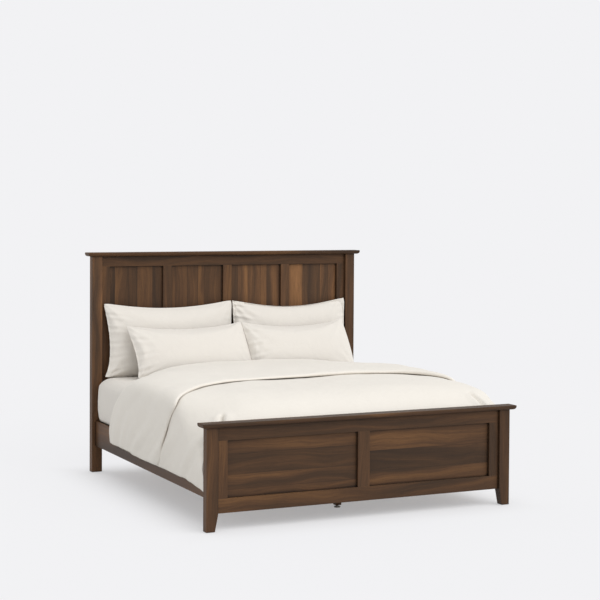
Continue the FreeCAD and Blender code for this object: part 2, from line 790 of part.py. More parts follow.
def duvet_section(y, top, side, hem, droop):
    """An outline across the bed: two hanging sides, two rounded shoulders and a crowned top.
    droop lowers the top's outer parts below its middle."""
    drape = float(size.duvet_drape)
    edge_height = top - drape * 0.05 - droop
    half = [
        Vector(side - drape * 0.12, y, hem),
        Vector(side, y, top - drape - droop * 0.3),
        Vector(side - drape * 0.24, y, edge_height - drape * 0.28),
        Vector(side - drape * 0.86, y, edge_height),
    ]
    other = [Vector(-p.x, p.y, p.z) for p in half]
    edges = [
        Part.LineSegment(half[0], half[1]).toShape(),
        arc(half[1], half[2], half[3]),
        arc(half[3], Vector(0, y, top), other[3]),
        arc(other[3], other[2], other[1]),
        Part.LineSegment(other[1], other[0]).toShape(),
        Part.LineSegment(other[0], half[0]).toShape(),
    ]
    return Part.Wire(edges)


def duvet_stations():
    """Where the duvet's sections stand: (distance from the foot posts' fronts, drop of the top
    below its full height, strength of the side folds, droop)."""
    start = float(size.foot_post_depth) + float(size.foot_cap_back) + float(size.soft_gap)
    head = float(bed_length - size.duvet_reveal)
    pitch = float(size.duvet_fold_pitch)
    loft = float(size.duvet_loft)
    droop = float(size.duvet_droop)
    stations = [(start, loft * 1.35, 0.0, 0.0), (start + loft * 0.3, loft * 0.92, 0.0, 0.0),
                (start + loft * 0.8, loft * 0.55, 0.0, 0.0), (start + loft * 1.7, loft * 0.22, 0.0, 0.0),
                (start + loft * 3.0, loft * 0.04, 0.0, 0.0)]
    run = head - loft - (start + loft * 3.0)
    count = 2 * round(run / pitch)
    for number in range(1, count):
        place = start + loft * 3.0 + run * number / count
        near_head = max(0.0, (number - count + 4) / 4)
        stations.append((place, 0.0, 1.0 if number % 2 else -1.0, droop * near_head))
    stations += [(head - loft * 0.6, loft * 0.08, 0.0, droop), (head - loft * 0.15, loft * 0.42, 0.0, droop * 0.7),
                 (head, loft * 0.78, 0.0, droop * 0.45)]
    return stations


def duvet_solid_through(stations, lift):
    """The duvet's outside, filled, through sections along the bed."""
    full = float(mattress_top) + float(size.duvet_loft) + lift
    depth = float(size.duvet_fold)
    wires = []
    for place, drop, fold, droop in stations:
        side = float(half_width + size.duvet_overhang) + fold * depth + lift * 0.3
        hem = float(rail_top - size.duvet_drop) - fold * depth - lift * 0.3
        wires.append(duvet_section(float(foot_front) + place, full - drop, side, hem, droop))
    return Part.makeLoft(wires, True, True)


def flat_face(corners):
    return Part.Face(Part.makePolygon(corners + corners[:1]))


def prism(corners, direction):
    """A straight-sided outline swept along a direction."""
    return flat_face(corners).extrude(direction)


def turn_back_waste():
    """What lies in front of the turned-back band's edge. The edge swings forward at the shoulders of
    the mattress, and hangs back again down the sides."""
    foot = float(foot_front)
    edge = float(head_front - size.duvet_reveal - size.turn_back_depth)
    swung = edge - float(size.turn_back_sweep)
    wide = float(half_width) * 1.2
    shoulder = float(size.mattress_width) / 2
    start = foot - 100.0
    high = float(mattress_top) * 2
    low = float(rail_top - size.duvet_drop) - 60.0
    above = [
        Vector(-wide, start, low), Vector(wide, start, low), Vector(wide, swung, low),
        Vector(shoulder, swung, low), Vector(shoulder * 0.8, swung * 0.35 + edge * 0.65, low),
        Vector(0, edge, low), Vector(-shoulder * 0.8, swung * 0.35 + edge * 0.65, low),
        Vector(-shoulder, swung, low), Vector(-wide, swung, low),
    ]
    beside = [
        Vector(-wide, start, high), Vector(-wide, start, low), Vector(-wide, edge - 60.0, low),
        Vector(-wide, swung, float(mattress_top)), Vector(-wide, swung, high),
    ]
    return prism(above, Vector(0, 0, high)).fuse(prism(beside, Vector(2 * wide, 0, 0)))


def make_bedding():
    soft_part("mattress", mattress_solid(0.0))
    stations = duvet_stations()
    lift = float(size.turn_back_loft)
    middle = float(bed_length) / 2
    band = [(place + lift * 0.4 if drop and place > middle else place, drop, fold, droop)
            for place, drop, fold, droop in stations]
    duvet = duvet_solid_through(stations, 0.0)
    turned_back = duvet_solid_through(band, lift).cut(turn_back_waste())
    across = float(rail_outside) + float(size.soft_gap)
    length = float(outline_length)
    below = Part.makeBox(2 * across, length, float(rail_top) + float(size.soft_gap),
                         Vector(-across, -length / 2, 0))
    duvet = duvet.fuse(turned_back).cut(mattress_solid(float(size.soft_gap))).cut(below)
    soft_part("duvet", duvet.removeSplitter())


def pillow_levels(steps=5):
    """The levels of a pillow from its front, through its seam, to its rear:
    (share of the swell, scale of the seam's outline)."""
    for step in range(-steps, steps + 1):
        turn = abs(step) / steps
        yield math.copysign(math.sin(math.pi / 2 * turn), step), 1 - 0.8 * turn ** 2.4


def pillow_outline(half_long, half_high, draw, steps=6):
    """The seam of a pillow as (x, z) points: four sides that pull in between four pointed corners.
    The side that it stands on is pressed nearly straight."""
    corners = [(-half_long, -half_high), (half_long, -half_high), (half_long, half_high), (-half_long, half_high)]
    inwards = [(0, draw * 0.25), (-draw, 0), (0, -draw), (draw, 0)]
    for side, (inward_x, inward_z) in enumerate(inwards):
        (x0, z0), (x1, z1) = corners[side], corners[(side + 1) % 4]
        for step in range(steps):
            run = step / steps
            pull = 4 * run * (1 - run)
            yield x0 + (x1 - x0) * run + inward_x * pull, z0 + (z1 - z0) * run + inward_z * pull


def pillow_solid(half_long, half_high, draw, front, rear):
    """A cover that swells from its seam to a crown on both sides, in flat facets between levels."""
    seam = list(pillow_outline(half_long, half_high, draw))
    rings = []
    for share, scale in pillow_levels():
        depth = share * (rear if share > 0 else front)
        rings.append([Vector(x * scale, depth, z * scale) for x, z in seam])
    faces = [flat_face(rings[0]), flat_face(rings[-1])]
    for near, far in zip(rings, rings[1:]):
        for here in range(len(seam)):
            after = (here + 1) % len(seam)
            faces.append(flat_face([near[here], near[after], far[after], far[here]]))
    return Part.Solid(Part.Shell(faces))


def bring(shape, way, rest):
    """Moves a soft piece one way until it lies just clear of what it rests on."""
    for _ in range(4):
        distance = shape.distToShape(rest)[0]
        shape.translate(way * (distance - float(size.soft_gap)))


def make_pillow(label, ends, height, front, rear, lean, behind):
    """A pillow between two places across the bed. It stands on the mattress and leans back on what
    is behind it."""
    half_long = float(ends[1] - ends[0]) / 2
    shape = pillow_solid(half_long, float(height) / 2, float(size.pillow_draw), float(front), float(rear))
    shape.rotate(Vector(0, 0, 0), Vector(1, 0, 0), -float(lean))
    low = shape.optimalBoundingBox(True, False).ZMin
    start = behind.BoundBox.YMin - float(front) - float(rear)
    floor = float(mattress_top) + float(size.soft_gap)
    shape.translate(Vector(float(ends[0] + ends[1]) / 2, start, floor - low))
    bring(shape, Vector(0, 1, 0), behind)
    bring(shape, Vector(0, 0, -1), parts["mattress"].Shape)
    soft_part(label, shape)


def make_pillows():
    half = size.mattress_width / 2
    rows = (
        ("back", "headboard_mullion", size.back_left_margin, size.back_right_margin, size.back_pillow_height,
         size.back_pillow_front, size.back_pillow_rear, size.back_pillow_gap, size.back_pillow_offset,
         size.back_pillow_lean),
        ("front", "pillow_back", size.front_left_margin, size.front_right_margin, size.front_pillow_height,
         size.front_pillow_front, size.front_pillow_rear, size.front_pillow_gap, size.front_pillow_offset,
         size.front_pillow_lean),
    )
    for row, leans_on, left_margin, right_margin, height, front, rear, gap, offset, lean in rows:
        spans = {"left": (left_margin - half, offset - gap / 2), "right": (offset + gap / 2, half - right_margin)}
        for side_name, ends in spans.items():
            behind = parts[f"{leans_on}_{side_name}"].Shape
            make_pillow(f"pillow_{row}_{side_name}", ends, height, front, rear, lean, behind)


# ---------------------------------------------------------------- build, test and write


def check():
    """Stops if any object failed, any cut removed nothing, or any piece isn't a valid solid."""
    for thing in doc.Objects:
        if "Invalid" in thing.State or "Error" in thing.State:
            raise RuntimeError(f"{thing.Label} did not compute: {thing.State}")
        if thing.TypeId == "Part::Cut" and thing.Shape.Volume > thing.Base.Shape.Volume - 0.01:
            raise RuntimeError(f"{thing.Label}: the cut removes nothing")
    for label, thing in parts.items():
        if thing.Shape.isNull() or not thing.Shape.isValid() or not thing.Shape.Solids:
            raise RuntimeError(f"{label} is not a valid solid")
        print(f"{label}: {len(thing.Shape.Solids)} solid(s), {thing.Shape.Volume / 1000:.1f} cm3")


def write():
    os.makedirs("parts", exist_ok=True)
    for label, thing in parts.items():
        thing.Shape.exportStep(f"parts/{label}.step")


make_posts()
make_headboard()
make_footboard()
make_side_rails()
make_slats()
make_centre_support()
make_fasteners()
make_bedding()
make_pillows()
doc.recompute()
check()
write()
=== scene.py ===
import math

import bmesh
import bpy
import numpy as np
from mathutils import Matrix, Vector, noise


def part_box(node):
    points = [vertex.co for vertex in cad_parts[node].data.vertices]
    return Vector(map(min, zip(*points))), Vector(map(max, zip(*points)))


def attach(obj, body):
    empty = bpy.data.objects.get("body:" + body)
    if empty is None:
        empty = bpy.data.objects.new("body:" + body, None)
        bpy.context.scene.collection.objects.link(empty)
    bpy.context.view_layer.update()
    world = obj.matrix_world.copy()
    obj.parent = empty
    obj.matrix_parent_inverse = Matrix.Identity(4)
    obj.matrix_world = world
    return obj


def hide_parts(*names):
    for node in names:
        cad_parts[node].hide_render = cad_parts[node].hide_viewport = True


# The looks of a king-size panel bed: dark stained walnut, and cream linen bedding.
# Metres. +Z is up, +Y points to the headboard, +X is to the right seen from the foot.

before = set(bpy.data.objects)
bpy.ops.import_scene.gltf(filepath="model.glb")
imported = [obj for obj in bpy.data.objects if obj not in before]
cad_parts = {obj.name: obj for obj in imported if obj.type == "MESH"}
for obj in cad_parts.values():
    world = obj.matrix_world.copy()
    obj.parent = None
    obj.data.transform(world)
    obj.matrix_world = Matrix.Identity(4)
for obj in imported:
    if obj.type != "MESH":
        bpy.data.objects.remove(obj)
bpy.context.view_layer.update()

# ---------------------------------------------------------------- places from the frame

FOOT_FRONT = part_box("footboard_post_left")[0][1]      # fronts of the foot posts
HEAD_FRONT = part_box("headboard_post_left")[0][1]      # fronts of the head posts
POST_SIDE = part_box("footboard_post_right")[1][0]      # outer faces of the posts
RAIL_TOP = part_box("side_rail_left")[1][2]
RAIL_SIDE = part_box("side_rail_right")[1][0]           # outer faces of the side rails
RAIL_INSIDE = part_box("side_rail_right")[0][0]         # and their inner faces
MATTRESS_LOW, MATTRESS_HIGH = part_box("mattress")


def station(distance):
    """A place along the bed, from the fronts of the foot posts."""
    return FOOT_FRONT + distance


# ---------------------------------------------------------------- node helpers


class Nodes:
    """A short way to write a material's node tree."""

    def __init__(self, name):
        self.material = bpy.data.materials.new(name)
        self.material.use_nodes = True
        self.tree = self.material.node_tree
        self.tree.nodes.clear()
        self.output = self.tree.nodes.new("ShaderNodeOutputMaterial")

    def add(self, kind, inputs=None, **settings):
        node = self.tree.nodes.new("ShaderNode" + kind)
        for name, value in settings.items():
            setattr(node, name, value)
        for name, value in (inputs or {}).items():
            self.feed(node.inputs[name], value)
        return node

    def feed(self, socket, value):
        if isinstance(value, bpy.types.NodeSocket):
            self.tree.links.new(value, socket)
        else:
            socket.default_value = value

    def math(self, operation, first, second=None, clamp=False):
        node = self.add("Math", operation=operation, use_clamp=clamp)
        self.feed(node.inputs[0], first)
        if second is not None:
            self.feed(node.inputs[1], second)
        return node.outputs[0]

    def mix(self, factor, first, second, blend="MIX"):
        node = self.add("Mix", data_type="RGBA", blend_type=blend)
        self.feed(node.inputs["Factor"], factor)
        self.feed(node.inputs["A"], first)
        self.feed(node.inputs["B"], second)
        return node.outputs["Result"]

    def scaled(self, vector, scale):
        return self.add("Mapping", {"Vector": vector, "Scale": scale}).outputs[0]

    def combined(self, x, y, z):
        return self.add("CombineXYZ", {"X": x, "Y": y, "Z": z}).outputs[0]

    def noise(self, vector, scale, detail=3.0, roughness=0.5, distortion=0.0):
        node = self.add("TexNoise", {"Vector": vector, "Scale": scale, "Detail": detail,
                                     "Roughness": roughness, "Distortion": distortion})
        return node.outputs["Fac"]

    def ramp(self, value, stops, interpolation="LINEAR"):
        node = self.add("ValToRGB", {"Fac": value})
        ramp = node.color_ramp
        ramp.interpolation = interpolation
        while len(ramp.elements) < len(stops):
            ramp.elements.new(0.5)
        for element, (place, color) in zip(ramp.elements, stops):
            element.position = place
            element.color = color if len(color) == 4 else (*color, 1.0)
        return node.outputs["Color"]

    def band(self, value, low, high):
        """0 below low, 1 above high, and smooth between."""
        node = self.add("MapRange", {"Value": value, "From Min": low, "From Max": high},
                        interpolation_type="SMOOTHSTEP")
        return node.outputs[0]

    def finish(self, shader):
        """Ends the tree in a shader, and gives the material."""
        self.tree.links.new(shader.outputs[0], self.output.inputs["Surface"])
        return self.material

    def principled(self, color, roughness, normal=None, others=None):
        """Ends the tree in a Principled shader, and gives the material."""
        shader = self.add("BsdfPrincipled", {"Base Color": color, "Roughness": roughness})
        if normal is not None:
            self.feed(shader.inputs["Normal"], normal)
        for name, value in (others or {}).items():
            self.feed(shader.inputs[name], value)
        return self.finish(shader)


def linear(red, green, blue):
    """A display colour in 0..255 as the linear colour that renders as it."""
    def one(value):
        value /= 255
        return value / 12.92 if value <= 0.04045 else ((value + 0.055) / 1.055) ** 2.4
    return (one(red), one(green), one(blue), 1.0)


def darker(color, share):
    return tuple(part * share for part in color[:3]) + (1.0,)


# ---------------------------------------------------------------- walnut

# The stained wood from its dark grain to its pale grain, by the value of the figure.
WALNUT = (
    (0.32, linear(62, 45, 32)),
    (0.44, linear(80, 57, 38)),
    (0.54, linear(99, 69, 45)),
    (0.64, linear(121, 85, 53)),
    (0.78, linear(143, 102, 65)),
)
DARK_FIBRE = linear(44, 31, 23)
OPEN_PORE = linear(30, 21, 16)
GLUE_LINE = linear(40, 29, 22)
# paler eased edges: partly wear, partly painted highlight
PALE_EDGE_WEAR_AND_HIGHLIGHT = linear(122, 92, 64)
# painted shade in inside corners
PAINTED_RECESS_SHADE = linear(26, 18, 13)
EDGE_RADIUS = 0.0022         # of the eased edges
GRAIN_BEND = 0.16            # how far the grain wanders across a board
RECESS_REACH = 0.020         # how far from an inside corner the painted shade reaches
GRAIN_AXES = {"x": (0, 2, 1), "y": (1, 2, 0), "z": (2, 0, 1)}   # along, across, through


def board_tones(n, across, low, high, staves):
    """The shade of each board of a glued-up panel, as a value about 0.5.
    staves lists (where a board starts, as a share of the panel's width, its shade)."""
    share = n.math("DIVIDE", n.math("SUBTRACT", across, low), high - low)
    stops = [(start, (shade, shade, shade)) for start, shade in staves]
    return n.ramp(share, stops, "CONSTANT"), share


def walnut(name, along, seed, tone=1.0, panel=None):
    """Dark stained walnut with its grain along one axis.
    panel is (low, high, staves) where the piece is glued up from boards."""
    n = Nodes(name)
    place = n.add("TexCoord").outputs["Object"]
    split = n.add("SeparateXYZ", {"Vector": place}).outputs
    length, across, through = (split[i] for i in GRAIN_AXES[along])
    shade = 0.5
    if panel:
        shade, share = board_tones(n, across, *panel)
    shift = n.math("ADD", n.math("MULTIPLY", shade, 17.0), seed)
    # Slow bends of the grain, so that the figure runs in waves and cathedrals.
    drift = n.combined(n.math("MULTIPLY", length, 1.5), n.math("MULTIPLY", across, 3.5),
                       n.math("ADD", n.math("MULTIPLY", through, 3.5), shift))
    bend = n.math("MULTIPLY", n.noise(drift, 1.0, 2.0, 0.5), GRAIN_BEND)
    bent = n.math("ADD", n.math("ADD", across, bend), shift)

    def grain(run, rise, detail, roughness):
        line = n.combined(n.math("MULTIPLY", length, run), n.math("MULTIPLY", bent, rise),
                          n.math("MULTIPLY", through, rise))
        return n.noise(line, 1.0, detail, roughness)

    figure = grain(0.7, 11.0, 3.0, 0.5)
    streaks = grain(1.8, 85.0, 3.0, 0.6)
    fibres = grain(9.0, 620.0, 2.0, 0.6)
    pores = n.band(grain(18.0, 990.0, 1.0, 0.4), 0.60, 0.72)
    value = n.math("ADD", n.math("MULTIPLY", figure, 0.80), n.math("MULTIPLY", streaks, 0.20))
    value = n.math("ADD", value, n.math("SUBTRACT", shade, 0.5))
    color = n.ramp(value, WALNUT)
    dark = n.math("MULTIPLY", n.math("SUBTRACT", 0.60, fibres, clamp=True), 1.1, clamp=True)
    color = n.mix(dark, color, DARK_FIBRE)
    color = n.mix(n.math("MULTIPLY", pores, 0.40), color, OPEN_PORE)
    if panel:
        for start, _ in panel[2][1:]:
            near = n.math("ABSOLUTE", n.math("SUBTRACT", share, start))
            joint = n.math("SUBTRACT", 1.0, n.band(near, 0.001, 0.008))
            color = n.mix(n.math("MULTIPLY", joint, 0.4), color, GLUE_LINE)
    # Eased edges: they turn the light, and they are painted paler, partly as wear and partly as a
    # painted highlight.
    eased = n.add("Bevel", {"Radius": EDGE_RADIUS}, samples=4).outputs[0]
    flat = n.add("NewGeometry").outputs["True Normal"]
    turned = n.add("VectorMath", {0: eased, 1: flat}, operation="DOT_PRODUCT").outputs["Value"]
    edge_wear_and_highlight = n.math("MULTIPLY", n.math("SUBTRACT", 1.0, turned, clamp=True), 2.4, clamp=True)
    # Painted shade: inside corners are darkened as far as RECESS_REACH from them, and kept free of the
    # paler edges.
    openness = n.add("AmbientOcclusion", {"Distance": RECESS_REACH}, samples=8).outputs["AO"]
    recess_shade = n.math("MULTIPLY", n.math("SUBTRACT", 0.80, openness, clamp=True), 2.6, clamp=True)
    edge_wear_and_highlight = n.math("MULTIPLY", edge_wear_and_highlight, n.math("SUBTRACT", 1.0, recess_shade, clamp=True))
    color = n.mix(1.0, color, (tone, tone, tone, 1.0), "MULTIPLY")
    # Paler edges, wear and painted highlight, then the painted shade in inside corners.
    color = n.mix(n.math("MULTIPLY", edge_wear_and_highlight, 0.45), color, PALE_EDGE_WEAR_AND_HIGHLIGHT)
    color = n.mix(n.math("MULTIPLY", recess_shade, 0.88), color, PAINTED_RECESS_SHADE)
    relief = n.math("SUBTRACT", n.math("MULTIPLY", fibres, 0.5), pores)
    bump = n.add("Bump", {"Height": relief, "Strength": 0.16, "Distance": 0.0006, "Normal": eased})
    rough = n.math("ADD", 0.42, n.math("MULTIPLY", streaks, 0.16))
    return n.principled(color, rough, bump.outputs[0], {
        "Specular IOR Level": 0.2, "Coat Weight": 0.04, "Coat Roughness": 0.35})


# ---------------------------------------------------------------- other materials


CREASE_REACH = 0.022         # how far from a tight crease the cloth is in shade
CREASE_SHADE = linear(146, 133, 117)
WEAVE = 900.0                # how fine the threads are, across them
WEAVE_ALONG = 45.0           # and along them
SLUB_SHADE = 0.125           # how much the thicker threads show


def linen(name, color):
    """Washed linen: a fine weave, thicker threads here and there, and a soft sheen."""
    n = Nodes(name)
    place = n.add("TexCoord").outputs["Object"]
    warp = n.noise(n.scaled(place, (WEAVE, WEAVE_ALONG, WEAVE)), 1.0, 1.0, 0.5)
    weft = n.noise(n.scaled(place, (WEAVE_ALONG, WEAVE, WEAVE)), 1.0, 1.0, 0.5)
    threads = n.math("ADD", warp, weft)
    cloudy = n.noise(place, 9.0, 3.0, 0.6)
    slubs = n.band(n.noise(n.scaled(place, (30.0, 420.0, 420.0)), 1.0, 2.0, 0.6), 0.58, 0.75)
    base = n.mix(n.math("MULTIPLY", cloudy, 0.5), color, darker(color, 0.955))
    base = n.mix(n.math("MULTIPLY", slubs, SLUB_SHADE), base, darker(color, 0.88))
    gaps = n.math("MULTIPLY", n.math("SUBTRACT", 1.1, threads, clamp=True), 0.5, clamp=True)
    base = n.mix(gaps, base, darker(color, 0.93))
    openness = n.add("AmbientOcclusion", {"Distance": CREASE_REACH}, samples=8).outputs["AO"]
    crease = n.math("MULTIPLY", n.math("SUBTRACT", 0.80, openness, clamp=True), 1.05, clamp=True)
    base = n.mix(crease, base, CREASE_SHADE)
    height = n.math("ADD", n.math("MULTIPLY", threads, 0.5), n.math("MULTIPLY", slubs, 0.5))
    fine = n.add("Bump", {"Height": height, "Strength": 0.25, "Distance": 0.0006})
    soft = n.noise(n.scaled(place, (14.0, 14.0, 14.0)), 1.0, 4.0, 0.62, 0.4)
    rumple = n.add("Bump", {"Height": soft, "Strength": 0.40, "Distance": 0.010,
                            "Normal": fine.outputs[0]})
    return n.principled(base, 0.93, rumple.outputs[0], {
        "Specular IOR Level": 0.12, "Sheen Weight": 0.18, "Sheen Roughness": 0.5})


def plain_wood(name):
    """Planed pale softwood for the slats and their supports."""
    n = Nodes(name)
    place = n.add("TexCoord").outputs["Object"]
    rings = n.noise(n.scaled(place, (3.0, 60.0, 60.0)), 1.0, 3.0, 0.55)
    color = n.ramp(rings, (
        (0.3, linear(196, 156, 108)), (0.55, linear(214, 178, 130)), (0.75, linear(226, 196, 152))))
    bump = n.add("Bump", {"Height": rings, "Strength": 0.12, "Distance": 0.0006})
    return n.principled(color, 0.62, bump.outputs[0])


def zinc_steel(name):
    n = Nodes(name)
    place = n.add("TexCoord").outputs["Object"]
    spangle = n.noise(place, 260.0, 3.0, 0.6)
    color = n.ramp(spangle, ((0.3, linear(150, 150, 146)), (0.7, linear(190, 190, 184))))
    rough = n.math("ADD", 0.28, n.math("MULTIPLY", spangle, 0.2))
    return n.principled(color, rough, others={"Metallic": 1.0})


def nylon(name):
    n = Nodes(name)
    place = n.add("TexCoord").outputs["Object"]
    grain = n.noise(place, 900.0, 2.0, 0.5)
    color = n.ramp(grain, ((0.3, linear(176, 174, 170)), (0.7, linear(190, 188, 184))))
    bump = n.add("Bump", {"Height": grain, "Strength": 0.15, "Distance": 0.0003})
    return n.principled(color, 0.55, bump.outputs[0])


def webbing(name):
    n = Nodes(name)
    place = n.add("TexCoord").outputs["Object"]
    weave = n.add("TexWave", {"Vector": place, "Scale": 220.0, "Distortion": 0.6}, bands_direction="Y")
    color = n.ramp(weave.outputs["Fac"], ((0.2, linear(176, 168, 152)), (0.8, linear(214, 207, 192))))
    bump = n.add("Bump", {"Height": weave.outputs["Fac"], "Strength": 0.3, "Distance": 0.0006})
    return n.principled(color, 0.9, bump.outputs[0])


DUVET_CREAM = linear(236, 231, 223)
PILLOW_CREAM = linear(228, 223, 216)

# ---------------------------------------------------------------- frame finishes

# Boards of the glued-up panels: (where a board starts, its shade about 0.5).
PANEL_STAVES = {
    "headboard_panel_1": ((0.0, 0.44), (0.12, 0.53), (0.36, 0.45), (0.52, 0.56), (0.80, 0.48)),
    "headboard_panel_2": ((0.0, 0.47), (0.10, 0.54), (0.32, 0.46), (0.52, 0.58), (0.64, 0.45)),
    "headboard_panel_3": ((0.0, 0.44), (0.16, 0.55), (0.36, 0.50), (0.60, 0.56), (0.72, 0.45)),
    "headboard_panel_4": ((0.0, 0.59), (0.31, 0.45), (0.66, 0.48), (0.82, 0.54)),
    "footboard_panel_left": ((0.0, 0.49), (0.16, 0.57), (0.40, 0.44), (0.74, 0.53)),
    "footboard_panel_right": ((0.0, 0.53), (0.27, 0.44), (0.62, 0.51)),
}

# How much lighter or darker than the rest a piece's finish is drawn. The left head post's high tone is
# painted light, for the light that falls on it.
TONES = {
    "headboard_panel_1": 0.80, "headboard_panel_2": 0.86,
    "headboard_panel_3": 1.08, "headboard_panel_4": 1.20,
    "headboard_cap": 0.60, "headboard_upper_rail": 0.77,
    "headboard_post_left": 1.28, "headboard_post_right": 0.84,
    "headboard_mullion_left": 0.85, "headboard_mullion_right": 1.05,
    "footboard_panel_left": 0.76, "footboard_panel_right": 0.78,
    "footboard_cap": 0.72, "footboard_upper_rail": 0.76,
    "footboard_post_left": 0.78, "footboard_post_right": 0.56,
    "footboard_stile_left": 0.80, "footboard_mullion": 0.90,
    "footboard_lower_rail": 0.72,
}
USUAL_TONE = 0.82
GRAIN_STEP = 0.613           # from one piece's grain to the next one's, so that none are alike


def dress(node, material):
    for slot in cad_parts[node].material_slots:
        slot.link = "OBJECT"
        slot.material = material


def frame_wood(node, seed):
    """Walnut with its grain along the board."""
    tone = TONES.get(node, USUAL_TONE)
    low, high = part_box(node)
    if node in PANEL_STAVES:
        upright = node.startswith("headboard")
        axis = 0 if upright else 2
        panel = (low[axis], high[axis], PANEL_STAVES[node])
        return walnut(node + "_walnut", "z" if upright else "x", seed, tone, panel)
    spans = [high[axis] - low[axis] for axis in range(3)]
    return walnut(node + "_walnut", "xyz"[spans.index(max(spans))], seed, tone)


def dress_frame():
    """Gives every carried-over piece its finish."""
    for number, node in enumerate(sorted(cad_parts)):
        if node.startswith("slat_tape"):
            dress(node, webbing(node + "_webbing"))
        elif node.startswith(("slat_", "centre_beam")):
            dress(node, plain_wood(node + "_wood"))
        elif node in ("post_slot_plates", "rail_hook_plates", "leg_hanger_bolts", "leg_inserts"):
            dress(node, zinc_steel(node + "_steel"))
        elif node.startswith("leg_leveller") or node == "post_glides":
            dress(node, nylon(node + "_nylon"))
        elif node not in ("mattress", "duvet") and not node.startswith("pillow"):
            dress(node, frame_wood(node, 1.0 + number * GRAIN_STEP))


dress_frame()

# ---------------------------------------------------------------- mesh helpers


def shade_smooth(mesh):
    for face in mesh.polygons:
        face.use_smooth = True


def make_object(name, mesh, material):
    mesh.materials.append(material)
    piece = bpy.data.objects.new(name, mesh)
    bpy.context.collection.objects.link(piece)
    shade_smooth(mesh)
    return piece


def grid_mesh(name, points, closed_u=False):
    """A mesh through a grid of points, shape (rows, columns, 3)."""
    rows, columns = points.shape[:2]
    faces = []
    spans = columns if closed_u else columns - 1
    for row in range(rows - 1):
        for column in range(spans):
            right = (column + 1) % columns
            faces.append((row * columns + column, row * columns + right,
                          (row + 1) * columns + right, (row + 1) * columns + column))
    mesh = bpy.data.meshes.new(name)
    mesh.from_pydata(points.reshape(-1, 3).tolist(), [], faces)
    mesh.update()
    return mesh


def close_holes(mesh):
    """Caps a mesh's open ends and turns its faces outward."""
    work = bmesh.new()
    work.from_mesh(mesh)
    bmesh.ops.holes_fill(work, edges=[edge for edge in work.edges if edge.is_boundary], sides=0)
    bmesh.ops.recalc_face_normals(work, faces=work.faces)
    work.to_mesh(mesh)
    work.free()


def apply_modifiers(piece):
    graph = bpy.context.evaluated_depsgraph_get()
    mesh = bpy.data.meshes.new_from_object(piece.evaluated_get(graph), depsgraph=graph)
    old = piece.data
    piece.modifiers.clear()
    piece.data = mesh
    bpy.data.meshes.remove(old)
    shade_smooth(mesh)


def smooth(value):
    value = np.clip(value, 0.0, 1.0)
    return value * value * (3 - 2 * value)


def blend_through(place, table):
    """A smooth curve through (place, value) pairs."""
    places, values = (np.array(column) for column in zip(*table))
    index = np.clip(np.searchsorted(places, place) - 1, 0, len(places) - 2)
    slopes = np.gradient(values, places)
    span = places[index + 1] - places[index]
    share = np.clip((place - places[index]) / span, 0, 1)
    from_start = (1 + 2 * share) * (1 - share) ** 2
    start_slope = share * (1 - share) ** 2
    from_end = share * share * (3 - 2 * share)
    end_slope = share * share * (share - 1)
    value = from_start * values[index] + start_slope * span * slopes[index]
    return value + from_end * values[index + 1] + end_slope * span * slopes[index + 1]


@np.vectorize
def soft_noise(x, y, z):
    return noise.noise(Vector((float(x), float(y), float(z))))


# ---------------------------------------------------------------- duvet

DUVET_FOOT = 0.068           # station of its foot, behind the footboard's cap
DUVET_TOP = 0.752            # height of the single layer, mid bed
DUVET_SIDE = POST_SIDE + 0.003               # half width where its sides begin
DUVET_THICK = 0.020
# Heights by station: the middle of its top, which falls away at the foot, and its hem.
FOOT_ROUND = ((0.0, 0.560), (0.068, 0.590), (0.095, 0.628), (0.140, 0.668), (0.205, 0.704),
              (0.300, 0.732), (0.420, 0.746), (0.560, 0.751), (0.800, DUVET_TOP), (2.0, DUVET_TOP))
HEM = ((0.0, 0.224), (0.158, 0.226), (0.285, 0.242), (0.367, 0.246), (0.60, 0.247), (0.79, 0.248),
       (0.89, 0.252), (1.10, 0.246), (1.46, 0.262), (1.60, 0.259), (1.80, 0.263))
HEM_DRAW_IN = 0.022          # how far the sides draw in towards the hem
# Its rounded shoulders, by station: how far down they reach, and how square they are.
SHOULDER_DROP = ((0.0, 0.165), (1.25, 0.168), (1.56, 0.320), (2.0, 0.325))
SHOULDER_POWER = ((0.0, 5.8), (1.20, 5.8), (1.56, 3.4), (2.0, 3.3))
# Near the foot the left shoulder slopes instead, which fades out between two stations.
SLOPE_CORE = 0.79            # half width of the part that stays flat
SLOPE_DROP = 0.265
SLOPE_POWER = 2.1
SLOPE_ENDS = (0.22, 0.56)
SKIN_STATIONS = np.linspace(0.0, 1.95, 330)

SIDE_HIGH = 0.70             # height where the hanging sides begin
FOLD_LEAN = 1.15             # how far a fold runs towards the headboard for each metre that it falls
FOLD_WIDE = 0.29             # distance between the wide folds
FOLD_NARROW = 0.171          # and between the narrow ones
FOLD_DEPTH = 0.0145
# The crease at each foot corner: (distance from the middle, station) of its two ends.
TUCK_ENDS = ((0.838, 0.215), (0.914, 0.060))


def cross_section(distance, lift, turn, sloped):
    """One shoulder of the duvet at a station: its distance from the middle, its height, and the
    height where its side begins. turn goes from 0 at the side to a quarter turn on the top, and
    sloped is 1 for the left side."""
    top = float(blend_through(distance, FOOT_ROUND)) + lift
    side = DUVET_SIDE + lift * 0.5
    drop = float(np.interp(distance, *zip(*SHOULDER_DROP)))
    power = 2 / float(np.interp(distance, *zip(*SHOULDER_POWER)))
    first, last = SLOPE_ENDS
    share = sloped * (1 - float(smooth((distance - first) / (last - first))))
    slope_power = 2 / SLOPE_POWER
    core = SLOPE_CORE * np.sin(np.pi / 2 - turn) ** 0.25
    x = side * np.cos(turn) ** power * (1 - share)
    x += (core + (side - SLOPE_CORE) * np.cos(turn) ** slope_power) * share
    z = top - drop * (1 - np.sin(turn) ** power) * (1 - share)
    z -= SLOPE_DROP * (1 - np.sin(turn) ** slope_power) * share
    return x, z, z[0]


